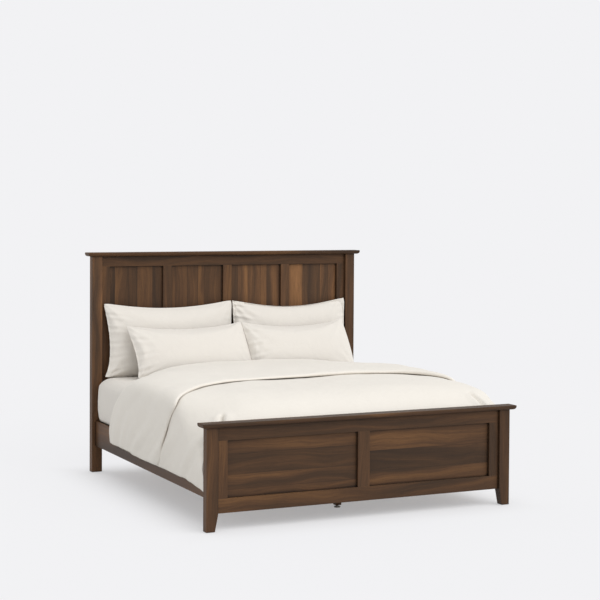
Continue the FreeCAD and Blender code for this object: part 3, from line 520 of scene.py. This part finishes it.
def duvet_skin(stations, shares, lift=0.0):
    """Points on the duvet's outside. shares runs across it by arc length, from 0 at the left hem
    to 1 at the right hem. Shape (stations, shares, 3)."""
    rows = []
    for distance in stations:
        hem = float(blend_through(distance, HEM))
        side = DUVET_SIDE + lift * 0.5
        halves = []
        for sloped in (1.0, 0.0):
            turn = np.linspace(0, math.pi / 2, 120)
            x_top, z_top, waist = cross_section(distance, lift, turn, sloped)
            fall = np.linspace(0, 1, 24)[:-1]
            x_side = side - HEM_DRAW_IN * (1 - fall) ** 1.5
            z_side = hem + (waist - hem) * fall
            halves.append((np.concatenate([x_side, x_top]), np.concatenate([z_side, z_top])))
        x_all = np.concatenate([-halves[0][0], halves[1][0][::-1][1:]])
        z_all = np.concatenate([halves[0][1], halves[1][1][::-1][1:]])
        run = np.concatenate([[0], np.cumsum(np.hypot(np.diff(x_all), np.diff(z_all)))])
        run /= run[-1]
        rows.append(np.stack([np.interp(shares, run, x_all), np.full(len(shares), station(distance)),
                              np.interp(shares, run, z_all)], axis=-1))
    return np.array(rows)


def on_skin(places, shares, lift=0.0):
    """Points of the skin, where places gives each one's station. Shape (rows, shares, 3)."""
    skin = duvet_skin(SKIN_STATIONS, shares, lift)
    points = np.empty(places.shape + (3,))
    for column in range(places.shape[1]):
        for axis in range(3):
            points[:, column, axis] = np.interp(places[:, column], SKIN_STATIONS,
                                                skin[:, column, axis])
    return points


def grid_normals(points):
    du = np.gradient(points, axis=1)
    dv = np.gradient(points, axis=0)
    normal = np.cross(du, dv)
    return normal / np.maximum(np.linalg.norm(normal, axis=-1, keepdims=True), 1e-9)


def hang(points):
    """How much a point belongs to the hanging sides: 0 on the top, 1 at the hem."""
    fallen = smooth((SIDE_HIGH - points[..., 2]) / 0.42)
    return fallen * smooth((np.abs(points[..., 0]) - 0.88) / 0.1)


def drape_folds(points, seed=0.0):
    """Long soft folds on the hanging sides, leaning towards the headboard as they fall, and shallow
    creases on the top."""
    x, y, z = points[..., 0], points[..., 1], points[..., 2]
    side = np.sign(x)
    run = y - (SIDE_HIGH - z) * FOLD_LEAN + soft_noise(y * 2.0, z * 2.0, side * 3 + seed) * 0.11
    wave = np.sin(2 * math.pi * run / FOLD_WIDE + side + seed) * 0.50
    wave += np.sin(2 * math.pi * run / FOLD_NARROW + 2.1 * side + seed) * 0.32
    wave += soft_noise(run * 9.0, z * 3.0, side * 5 + seed) * 0.55
    near_hem = 1 - 0.65 * (1 - smooth((z - 0.23) / 0.16))
    sides = wave * hang(points) * near_hem * FOLD_DEPTH
    top = 1 - smooth((np.abs(x) - 0.80) / 0.2)
    rumple = soft_noise(x * 1.7 + seed, y * 1.9, 3.0) * 0.010
    rumple += soft_noise(x * 4.2, y * 4.6 + seed, 7.0) * 0.0055
    rumple += soft_noise(x * 9.0 + 3 * y, y * 5.0 - 2 * x, 11.0 + seed) * 0.0024
    shoulder = (1 - top) * (1 - hang(points))
    creases = soft_noise(run * 7.0, z * 3.0, side * 9 + seed) * 0.010 * shoulder
    return sides + rumple * top + creases


def tuck_crease(points):
    """The crease at each foot corner, where the duvet is tucked behind the footboard."""
    x, y = np.abs(points[..., 0]), points[..., 1]
    (x0, first), (x1, last) = TUCK_ENDS
    y0, y1 = station(first), station(last)
    length = math.hypot(x1 - x0, y1 - y0)
    along = ((x - x0) * (x1 - x0) + (y - y0) * (y1 - y0)) / length
    off = ((x - x0) * (y1 - y0) - (y - y0) * (x1 - x0)) / length
    reach = smooth(along / 0.05) * (1 - smooth((along - length) / 0.04))
    groove = -0.026 * np.exp(-(off / 0.011) ** 2)
    swell = 0.009 * np.exp(-((off - 0.034) / 0.026) ** 2)
    swell += 0.009 * np.exp(-((off + 0.034) / 0.026) ** 2)
    return (groove + swell) * reach


def thick_sheet(name, points, thickness, material):
    """A padded sheet: the skin, an inner skin, and a rim between them."""
    mesh = grid_mesh(name, points)
    piece = make_object(name, mesh, material)
    solid = piece.modifiers.new("thickness", "SOLIDIFY")
    solid.thickness = thickness
    solid.offset = -1.0
    solid.use_quality_normals = True
    return piece


# The two ends of the turned-back band: (distance from the middle, station) on the top and
# (height, station) on the sides.
BAND_LEFT = ((0.0, 0.880), (0.25, 0.870), (0.55, 0.812), (0.75, 0.700), (0.90, 0.570), (1.04, 0.482))
BAND_RIGHT = ((0.0, 0.880), (0.25, 0.897), (0.55, 0.884), (0.80, 0.805), (0.92, 0.715), (1.04, 0.632))
BAND_SIDE = ((0.22, 0.885), (0.288, 0.795), (0.411, 0.708), (0.535, 0.620), (0.660, 0.505),
             (0.80, 0.40))
RIGHT_SHARE, RIGHT_SHIFT = 0.6, 0.336        # what BAND_SIDE's stations become on the right side
HEAD_SIDE = ((0.22, 1.760), (0.36, 1.715), (0.51, 1.625), (0.61, 1.570), (0.80, 1.52))
HEAD_TOP = ((0.0, 1.785), (0.40, 1.777), (0.62, 1.735), (0.78, 1.662), (0.90, 1.605), (1.04, 1.562))


def band_edge(section):
    """Station of the turned-back band's free edge, for points of one cross-section."""
    x, z = np.abs(section[:, 0]), section[:, 2]
    left = blend_through(x, BAND_LEFT)
    right = blend_through(x, BAND_RIGHT)
    top = np.where(section[:, 0] < 0, left, right)
    side = blend_through(z, BAND_SIDE)
    side = np.where(section[:, 0] < 0, side, side * RIGHT_SHARE + RIGHT_SHIFT)
    blend = smooth((z - 0.60) / 0.12)
    return side * (1 - blend) + top * blend


def head_edge(section):
    """Station of the duvet's folded head end."""
    x, z = np.abs(section[:, 0]), section[:, 2]
    side = blend_through(z, HEAD_SIDE)
    top = blend_through(x, HEAD_TOP)
    blend = smooth((z - 0.58) / 0.12)
    return side * (1 - blend) + top * blend


EDGE_ROLL = 0.0110           # radius of the turned-back band's rolled edge
BAND_GAP = 0.001             # between the band and the duvet
BAND_PUFF = 0.010            # how much thicker the band is in its middle


def loop_profile(places):
    """One turn round a band of even thickness: each point's share of the way along, its setback
    from that end and its height above the middle, as multiples of the roll's radius."""
    profile = []
    for angle in np.linspace(-90, 90, 13):
        a = math.radians(angle)
        profile.append((0.0, 1 - math.cos(a), math.sin(a)))
    for share in places:
        profile.append((share, 1 - 2 * share, 1.0))
    for angle in np.linspace(90, -90, 9):
        a = math.radians(angle)
        profile.append((1.0, -1 + math.cos(a), math.sin(a)))
    for share in places[::-6]:
        profile.append((share, 1 - 2 * share, -1.0))
    return np.array(profile)


def make_band(shares, edge, head, material):
    """The turned-back head end: a padded band that goes over the duvet, with a rolled free edge."""
    profile = loop_profile(np.linspace(0, 1, 84)[1:-1])
    share, setback, height = (profile[:, column][:, None] for column in range(3))
    places = edge + (head - edge) * share + setback * EDGE_ROLL
    middle = on_skin(places, shares, EDGE_ROLL + BAND_GAP)
    hem = 1 - smooth(1 - np.minimum(shares, 1 - shares) / 0.006) ** 2
    puff = BAND_PUFF * np.sin(np.clip(share, 0, 1) * math.pi) ** 0.5 * (height > 0)
    normals = grid_normals(on_skin(edge + (head - edge) * np.linspace(0, 1, 60)[:, None], shares))
    pick = np.clip(np.round(share[:, 0] * 59).astype(int), 0, 59)
    offset = height * EDGE_ROLL * hem + puff * hem
    offset += drape_folds(middle, 5.0) * np.clip(height + 1, 0, 1)
    points = middle + normals[pick] * offset[..., None]
    mesh = grid_mesh("duvet_turn_back", points.transpose(1, 0, 2)[:, ::-1], closed_u=True)
    close_holes(mesh)
    return make_object("duvet_turn_back", mesh, material)


def make_duvet(material):
    shares = np.linspace(0, 1, 300)
    section = duvet_skin(np.array([1.0]), shares)[0]
    edge, head = band_edge(section), head_edge(section)
    rise = np.linspace(0, 1, 160)[:, None]
    points = on_skin(DUVET_FOOT + (head - DUVET_THICK - DUVET_FOOT) * rise, shares)
    points += grid_normals(points) * (drape_folds(points) + tuck_crease(points))[..., None]
    cover = thick_sheet("duvet_cover", points, DUVET_THICK, material)
    apply_modifiers(cover)
    return [cover, make_band(shares, edge, head, material)]


# ---------------------------------------------------------------- mattress


MATTRESS_ROOM = 0.007        # between it and a side rail
MATTRESS_CORNER = 0.050
MATTRESS_ROUND = 0.066       # of its top edges
MATTRESS_SWELL = 0.036       # how far its sides swell above the rails
UNDER_DUVET = 0.030          # how far it stays under the duvet's skin
CLEAR_OF_DUVET = 1.5         # station from which it may stand free of the duvet
KEPT_BELOW = 0.45            # height up to which the duvet doesn't press on it
# Levels of its side: (share of its height, inset, share of the swell).
MATTRESS_LEVELS = (
    (0.0, 0.020, 0), (0.02, 0.007, 0), (0.07, 0.0, 0), (0.150, 0.0, 0.0), (0.168, 0.0, 0.6),
    (0.24, 0.0, 0.85), (0.38, 0.0, 1.0), (0.55, 0.0, 1.0), (0.76, 0.0, 0.92),
)


def rounded_ring(half_x, half_y, corner, z, per_corner=10, per_side=40):
    """A level rounded rectangle about the origin."""
    points = []
    for quarter, (sx, sy) in enumerate(((1, -1), (1, 1), (-1, 1), (-1, -1))):
        cx, cy = sx * (half_x - corner), sy * (half_y - corner)
        first = -math.pi / 2 + quarter * math.pi / 2
        for step in range(per_corner + 1):
            angle = first + math.pi / 2 * step / per_corner
            points.append((cx + corner * math.cos(angle), cy + corner * math.sin(angle), z))
        if quarter % 2 == 0:
            start, stop = (cx + sx * corner, cy), (cx + sx * corner, -cy)
        else:
            start, stop = (cx, cy + sy * corner), (-cx, cy + sy * corner)
        for step in range(1, per_side):
            t = step / per_side
            points.append((start[0] + (stop[0] - start[0]) * t,
                           start[1] + (stop[1] - start[1]) * t, z))
    return np.array(points)


def make_mattress(material):
    """A mattress in its fitted sheet: rounded edges, sides that swell above the rails."""
    low, high = MATTRESS_LOW, MATTRESS_HIGH
    centre = Vector(((low[0] + high[0]) / 2, (low[1] + high[1]) / 2, 0))
    half_x = RAIL_INSIDE - MATTRESS_ROOM
    half_y = (high[1] - low[1]) / 2
    height = high[2] - low[2]
    levels = [(low[2] + share * height, inset, swell) for share, inset, swell in MATTRESS_LEVELS]
    for step in range(1, 10):
        angle = math.pi / 2 * step / 9
        levels.append((high[2] - MATTRESS_ROUND * (1 - math.sin(angle)) - 0.003,
                       MATTRESS_ROUND * (1 - math.cos(angle)), 0.92 * (1 - step / 9)))
    rings = []
    for z, inset, swell in levels:
        rings.append(rounded_ring(half_x + swell * MATTRESS_SWELL - inset, half_y - inset,
                                  MATTRESS_CORNER - inset * 0.5, z))
    for shrink in (0.93, 0.8, 0.6, 0.35, 0.1):
        last = rings[len(levels) - 1]
        ring = last * np.array([shrink, shrink, 1.0])
        ring[:, 2] = high[2] - 0.003 * shrink
        rings.append(ring)
    points = np.array(rings)
    points[..., 0] += centre.x
    points[..., 1] += centre.y
    sway = soft_noise(points[..., 0] * 2.2, points[..., 1] * 2.2, points[..., 2] * 3.0) * 0.006
    sway *= smooth((points[..., 2] - RAIL_TOP) / 0.08)
    outward = points - np.array([centre.x, centre.y, high[2] - 0.15])
    outward /= np.maximum(np.linalg.norm(outward, axis=-1, keepdims=True), 1e-6)
    points += outward * (sway - 0.004 * (sway != 0))[..., None]
    mesh = grid_mesh("mattress_sheet", points, closed_u=True)
    for vertex in mesh.vertices:
        distance = vertex.co.y - station(0)
        turn = np.linspace(0, math.pi / 2, 60)
        x, z, _ = cross_section(distance, 0.0, turn, float(vertex.co.x < 0))
        cover = float(np.interp(abs(vertex.co.x), x[::-1], z[::-1]))
        if distance < CLEAR_OF_DUVET and vertex.co.z > KEPT_BELOW:
            vertex.co.z = max(KEPT_BELOW, min(vertex.co.z, cover - UNDER_DUVET))
    close_holes(mesh)
    return make_object("mattress_sheet", mesh, material)


# ---------------------------------------------------------------- pillows


def pillow_cover(name, width, height, front, rear, sag, pinch, columns=84):
    """A cushion cover seen from the front: sides that pull in between its corners, a flat hem round
    its edge, and a crown on both faces that is fullest below the middle."""
    rows = int(columns * height / width)
    work = bmesh.new()
    layers = []
    hem = 0.012
    for layer, swell in enumerate((-front, rear)):
        grid = {}
        for i in range(columns + 1):
            for j in range(rows + 1):
                if layer == 1 and (i in (0, columns) or j in (0, rows)):
                    grid[i, j] = layers[0][i, j]
                    continue
                u, v = 2 * i / columns - 1, 2 * j / rows - 1
                pull_in = pinch[0] if u < 0 else pinch[1]
                corner = abs(u * v) ** 12
                waist = pull_in * (1 - v * v) * (1 - 0.35 * v) * u * u
                x = width / 2 * u * (1 - waist - 0.020 * corner)
                dip = sag * (1 - u * u) ** 1.2 * v * v if v > 0 else 0
                z = height / 2 * v * (1 - 0.04 * corner) - dip
                across = min(1.0, abs(u) * (width / 2) / (width / 2 - hem))
                upward = min(1.0, abs(v) * (height / 2) / (height / 2 - hem))
                crown = ((1 - across ** 3.2) * (1 - upward ** 2.4)) ** 0.62
                y = swell * crown * (1 - 0.16 * v)
                grid[i, j] = work.verts.new((x, y + (0.0015 if layer else -0.0015), z))
        layers.append(grid)
    for layer, grid in enumerate(layers):
        for i in range(columns):
            for j in range(rows):
                corners = [grid[i, j], grid[i + 1, j], grid[i + 1, j + 1], grid[i, j + 1]]
                work.faces.new(corners if layer == 0 else corners[::-1])
    bmesh.ops.recalc_face_normals(work, faces=work.faces)
    mesh = bpy.data.meshes.new(name)
    work.to_mesh(mesh)
    work.free()
    return mesh


def read_points(mesh):
    flat = np.empty(len(mesh.vertices) * 3)
    mesh.vertices.foreach_get("co", flat)
    return flat.reshape(-1, 3)


def write_points(mesh, points):
    mesh.vertices.foreach_set("co", points.ravel())
    mesh.update()


def inflate(piece):
    """Fills the cover by simulation. No point moves further than FILL_REACH."""
    start = read_points(piece.data)
    cloth = piece.modifiers.new("fill", "CLOTH")
    cloth.settings.quality = 5
    cloth.settings.mass = 0.3
    cloth.settings.tension_stiffness = 15
    cloth.settings.compression_stiffness = 10
    cloth.settings.shear_stiffness = 6
    cloth.settings.bending_stiffness = 0.8
    cloth.settings.use_pressure = True
    cloth.settings.uniform_pressure_force = FILL_PRESSURE
    cloth.settings.effector_weights.gravity = 0.0
    cloth.collision_settings.use_collision = False
    scene = bpy.context.scene
    for number in range(1, FILL_FRAMES + 1):
        scene.frame_set(number)
    apply_modifiers(piece)
    scene.frame_set(1)
    points = read_points(piece.data)
    moved = points - start
    reach = np.linalg.norm(moved, axis=1, keepdims=True)
    write_points(piece.data, start + moved * np.minimum(1.0, FILL_REACH / np.maximum(reach, 1e-9)))


def corner_creases(points, half_x, half_z, seed, depth=0.0042):
    """Creases that fan out from the four corners, and a light rumple over the rest."""
    x, z = points[:, 0], points[:, 2]
    total = soft_noise(x * 4.0 + seed, z * 5.0, seed) * 0.004
    for side in (-1, 1):
        for end in (-1, 1):
            dx, dz = side * half_x - x, end * half_z - z
            away = np.hypot(dx, dz)
            angle = np.arctan2(np.abs(dz), np.abs(dx))
            bend = soft_noise(x * 6.0, z * 6.0, seed + side + 2 * end)
            fan = np.sin(angle * 17.0 + bend * 2.6 + seed * (2 + side))
            reach = smooth(away / 0.05) * (1 - smooth((away - 0.06) / (0.30 if side < 0 else 0.22)))
            total += fan * reach * depth * (1.0 if side < 0 else 0.7)
    for side, reach, deep in ((-1, 0.19, 0.0080), (1, 0.10, 0.0032)):
        away = half_x - side * x
        bent = z + soft_noise(x * 5.0, z * 4.0, seed + 9) * 0.03 + (z / half_z) * away * 0.25
        gather = np.sin(2 * math.pi * bent / 0.047 + seed)
        gather += 0.6 * np.sin(2 * math.pi * bent / 0.031 + 2 * seed)
        total += (gather * smooth((away - 0.012) / 0.02) * (1 - smooth((away - 0.03) / reach))
                  * deep * 0.6)
    inside = smooth((half_x - np.abs(x)) / 0.03) * smooth((half_z - np.abs(z)) / 0.03)
    return total * inside


FILL_PRESSURE = 3.0
FILL_FRAMES = 18
FILL_REACH = 0.012           # furthest that a point of a cover moves as it fills
CROWN_FRONT = 0.52           # fullness of a pillow's two faces, as shares of its solid's depth
CROWN_REAR = 0.34

PILLOWS = (
    # node, sag of its top edge, lean in degrees, width and height as shares of the CAD solid's,
    # how far its lower edge is pulled to the right, how far its two sides are pinched in
    ("pillow_back_left", 0.042, 3.6, 1.012, 1.036, 0.0, (0.080, 0.015)),
    ("pillow_back_right", 0.054, 3.6, 1.026, 1.036, 0.0, (0.030, 0.015)),
    ("pillow_front_left", 0.033, 24.0, 1.020, 1.036, 0.038, (0.054, -0.014)),
    ("pillow_front_right", 0.037, 24.0, 1.026, 1.040, 0.032, (0.030, -0.030)),
)


def lean_back(points, lean, low, high, wide, tall, pull):
    """Fits a filled cover to its place: on the mattress, at its lean, against what is behind it."""
    angle = math.radians(lean)
    size = points.max(axis=0) - points.min(axis=0)
    points -= (points.max(axis=0) + points.min(axis=0)) / 2
    height = (high[2] - low[2]) / math.cos(angle) * tall - 0.02 * math.sin(angle)
    thickness = max(0.105, (high[1] - low[1]) * 0.95 - math.sin(angle) * height * 0.7)
    points *= np.array([(high[0] - low[0]) * wide / size[0], thickness / size[1], height / size[2]])
    points[:, 0] += pull * (0.5 - points[:, 2] / height)
    turned = points.copy()
    turned[:, 1] = points[:, 1] * math.cos(angle) + points[:, 2] * math.sin(angle)
    turned[:, 2] = points[:, 2] * math.cos(angle) - points[:, 1] * math.sin(angle)
    turned[:, 0] += (low[0] + high[0]) / 2
    turned[:, 1] += high[1] - 0.002 - turned[:, 1].max()
    turned[:, 2] += low[2] + 0.001 - turned[:, 2].min()
    return turned


def make_pillows(material):
    made = []
    for number, (node, sag, lean, wide, tall, pull, pinch) in enumerate(PILLOWS):
        low, high = (np.array(corner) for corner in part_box(node))
        width, depth, height = high - low
        front, rear = depth * CROWN_FRONT, depth * CROWN_REAR
        mesh = pillow_cover(node + "_cover", width, height, front, rear, sag, pinch)
        piece = make_object(node + "_cover", mesh, material)
        inflate(piece)
        points = read_points(piece.data)
        seed = 1.7 + number * 3.1
        crease = corner_creases(points, width / 2, height / 2, seed)
        points[:, 1] += crease * np.sign(points[:, 1])
        write_points(piece.data, lean_back(points, lean, low, high, wide, tall, pull))
        rounded = piece.modifiers.new("round", "SUBSURF")
        rounded.levels = 1
        rounded.render_levels = 1
        apply_modifiers(piece)
        made.append((piece, node))
    return made


# ---------------------------------------------------------------- put the bedding on


duvet_linen = linen("duvet_linen", DUVET_CREAM)
pillow_linen = linen("pillow_linen", PILLOW_CREAM)
sheet_linen = linen("sheet_linen", PILLOW_CREAM)

for piece in make_duvet(duvet_linen):
    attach(piece, "frame")
    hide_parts("duvet")
mattress = make_mattress(sheet_linen)
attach(mattress, "frame")
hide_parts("mattress")
for pillow, node in make_pillows(pillow_linen):
    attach(pillow, "frame")
    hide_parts(node)

# ---------------------------------------------------------------- stage, light and camera

BACKDROP = linear(242, 242, 244)
FLOOR_COLOR = (0.862, 0.862, 0.878, 1.0)
FLOOR_BOUNCE = (0.75, 0.75, 0.75, 1.0)       # its colour to light that bounces off it
FLOOR_REACH = 9.0
FLOOR_FADE = (3.2, 7.0)      # distances from the middle between which it fades into the backdrop
FILL_UNDER = 0.38            # share of the backdrop's colour in the floor under the bed
FILL_OPEN = 0.90             # and beside it
FILL_EDGE = (-0.15, 0.35)    # distances past the bed's outline between which the one becomes the other
AMBIENT = 0.74
KEY_STRENGTH = 1.4
SUN_COLOR = (1.0, 0.995, 0.985)


def make_floor():
    n = Nodes("floor")
    place = n.add("TexCoord").outputs["Object"]
    distance = n.add("VectorMath", {0: place}, operation="LENGTH").outputs["Value"]
    fade = n.band(distance, *FLOOR_FADE)
    ray = n.add("LightPath").outputs
    mirrored = n.math("MAXIMUM", ray["Is Glossy Ray"], ray["Is Transmission Ray"])
    seen = n.math("MAXIMUM", ray["Is Camera Ray"], mirrored)
    color = n.mix(seen, FLOOR_BOUNCE, FLOOR_COLOR)
    diffuse = n.add("BsdfDiffuse", {"Color": color})
    glow = n.add("Emission", {"Color": BACKDROP})
    split = n.add("SeparateXYZ", {"Vector": place}).outputs
    beyond = n.math("MAXIMUM", n.math("SUBTRACT", n.math("ABSOLUTE", split[0]), RAIL_SIDE),
                    n.math("SUBTRACT", n.math("ABSOLUTE", split[1]), HEAD_FRONT))
    open_floor = n.band(beyond, *FILL_EDGE)
    fill = n.math("ADD", FILL_UNDER, n.math("MULTIPLY", open_floor, FILL_OPEN - FILL_UNDER))
    softened = n.math("MULTIPLY", seen, fill)
    shaded = n.add("MixShader", {"Fac": softened, 1: diffuse.outputs[0], 2: glow.outputs[0]})
    clear = n.add("BsdfTransparent")
    shader = n.add("MixShader", {"Fac": fade, 1: shaded.outputs[0], 2: clear.outputs[0]})
    mesh = bpy.data.meshes.new("floor")
    corners = [(x * FLOOR_REACH, y * FLOOR_REACH, 0) for x, y in ((-1, -1), (1, -1), (1, 1), (-1, 1))]
    mesh.from_pydata(corners, [], [(0, 1, 2, 3)])
    floor = bpy.data.objects.new("floor", mesh)
    bpy.context.collection.objects.link(floor)
    mesh.materials.append(n.finish(shader))


def make_world():
    """Soft light from all round, and the pale backdrop."""
    world = bpy.data.worlds.new("studio")
    bpy.context.scene.world = world
    world.use_nodes = True
    tree = world.node_tree
    tree.nodes.clear()
    out = tree.nodes.new("ShaderNodeOutputWorld")
    light = tree.nodes.new("ShaderNodeBackground")
    light.inputs["Strength"].default_value = AMBIENT
    light.inputs["Color"].default_value = (1.0, 1.0, 0.995, 1.0)
    shown = tree.nodes.new("ShaderNodeBackground")
    shown.inputs["Color"].default_value = BACKDROP
    path = tree.nodes.new("ShaderNodeLightPath")
    mix = tree.nodes.new("ShaderNodeMixShader")
    tree.links.new(path.outputs["Is Camera Ray"], mix.inputs["Fac"])
    tree.links.new(light.outputs[0], mix.inputs[1])
    tree.links.new(shown.outputs[0], mix.inputs[2])
    tree.links.new(mix.outputs[0], out.inputs["Surface"])


def make_sun(name, azimuth, elevation, strength, angle):
    """A soft far light. Azimuth 0 comes from the foot's side, and 90 from the right."""
    lamp = bpy.data.lights.new(name, "SUN")
    lamp.energy = strength
    lamp.angle = math.radians(angle)
    lamp.color = SUN_COLOR
    sun = bpy.data.objects.new(name, lamp)
    bpy.context.collection.objects.link(sun)
    a, e = math.radians(azimuth), math.radians(elevation)
    toward = Vector((math.sin(a) * math.cos(e), -math.cos(a) * math.cos(e), math.sin(e)))
    sun.rotation_euler = toward.to_track_quat("Z", "Y").to_euler()


# The camera was fitted to the posts, caps and rails.
CAMERA_PLACE = (-4.2701, FOOT_FRONT - 8.0127, 1.9045)
CAMERA_TURN = 0.445          # radians towards +X
CAMERA_DIP = 0.03
CAMERA_ROLL = 0.006
FOCAL_PIXELS = 1519.6        # for a frame 600 pixels wide
AXIS_COLUMN = 299.1          # pixel that the camera's axis meets
AXIS_ROW = 246.25
IMAGE = 600
SENSOR = 36.0


def make_camera():
    data = bpy.data.cameras.new("camera")
    data.sensor_width = SENSOR
    data.sensor_fit = "HORIZONTAL"
    data.lens = FOCAL_PIXELS / IMAGE * SENSOR
    data.shift_x = (IMAGE / 2 - AXIS_COLUMN) / IMAGE
    data.shift_y = -(IMAGE / 2 - AXIS_ROW) / IMAGE
    camera = bpy.data.objects.new("camera", data)
    bpy.context.collection.objects.link(camera)
    turn = Matrix.Rotation(-CAMERA_TURN, 4, "Z")
    dip = Matrix.Rotation(math.pi / 2 - CAMERA_DIP, 4, "X")
    roll = Matrix.Rotation(CAMERA_ROLL, 4, "Z")
    camera.matrix_world = Matrix.Translation(CAMERA_PLACE) @ turn @ dip @ roll
    bpy.context.scene.camera = camera


make_floor()
make_world()
make_sun("key", azimuth=30.0, elevation=42.0, strength=KEY_STRENGTH, angle=70.0)
make_camera()
bpy.context.scene.view_settings.view_transform = "Standard"
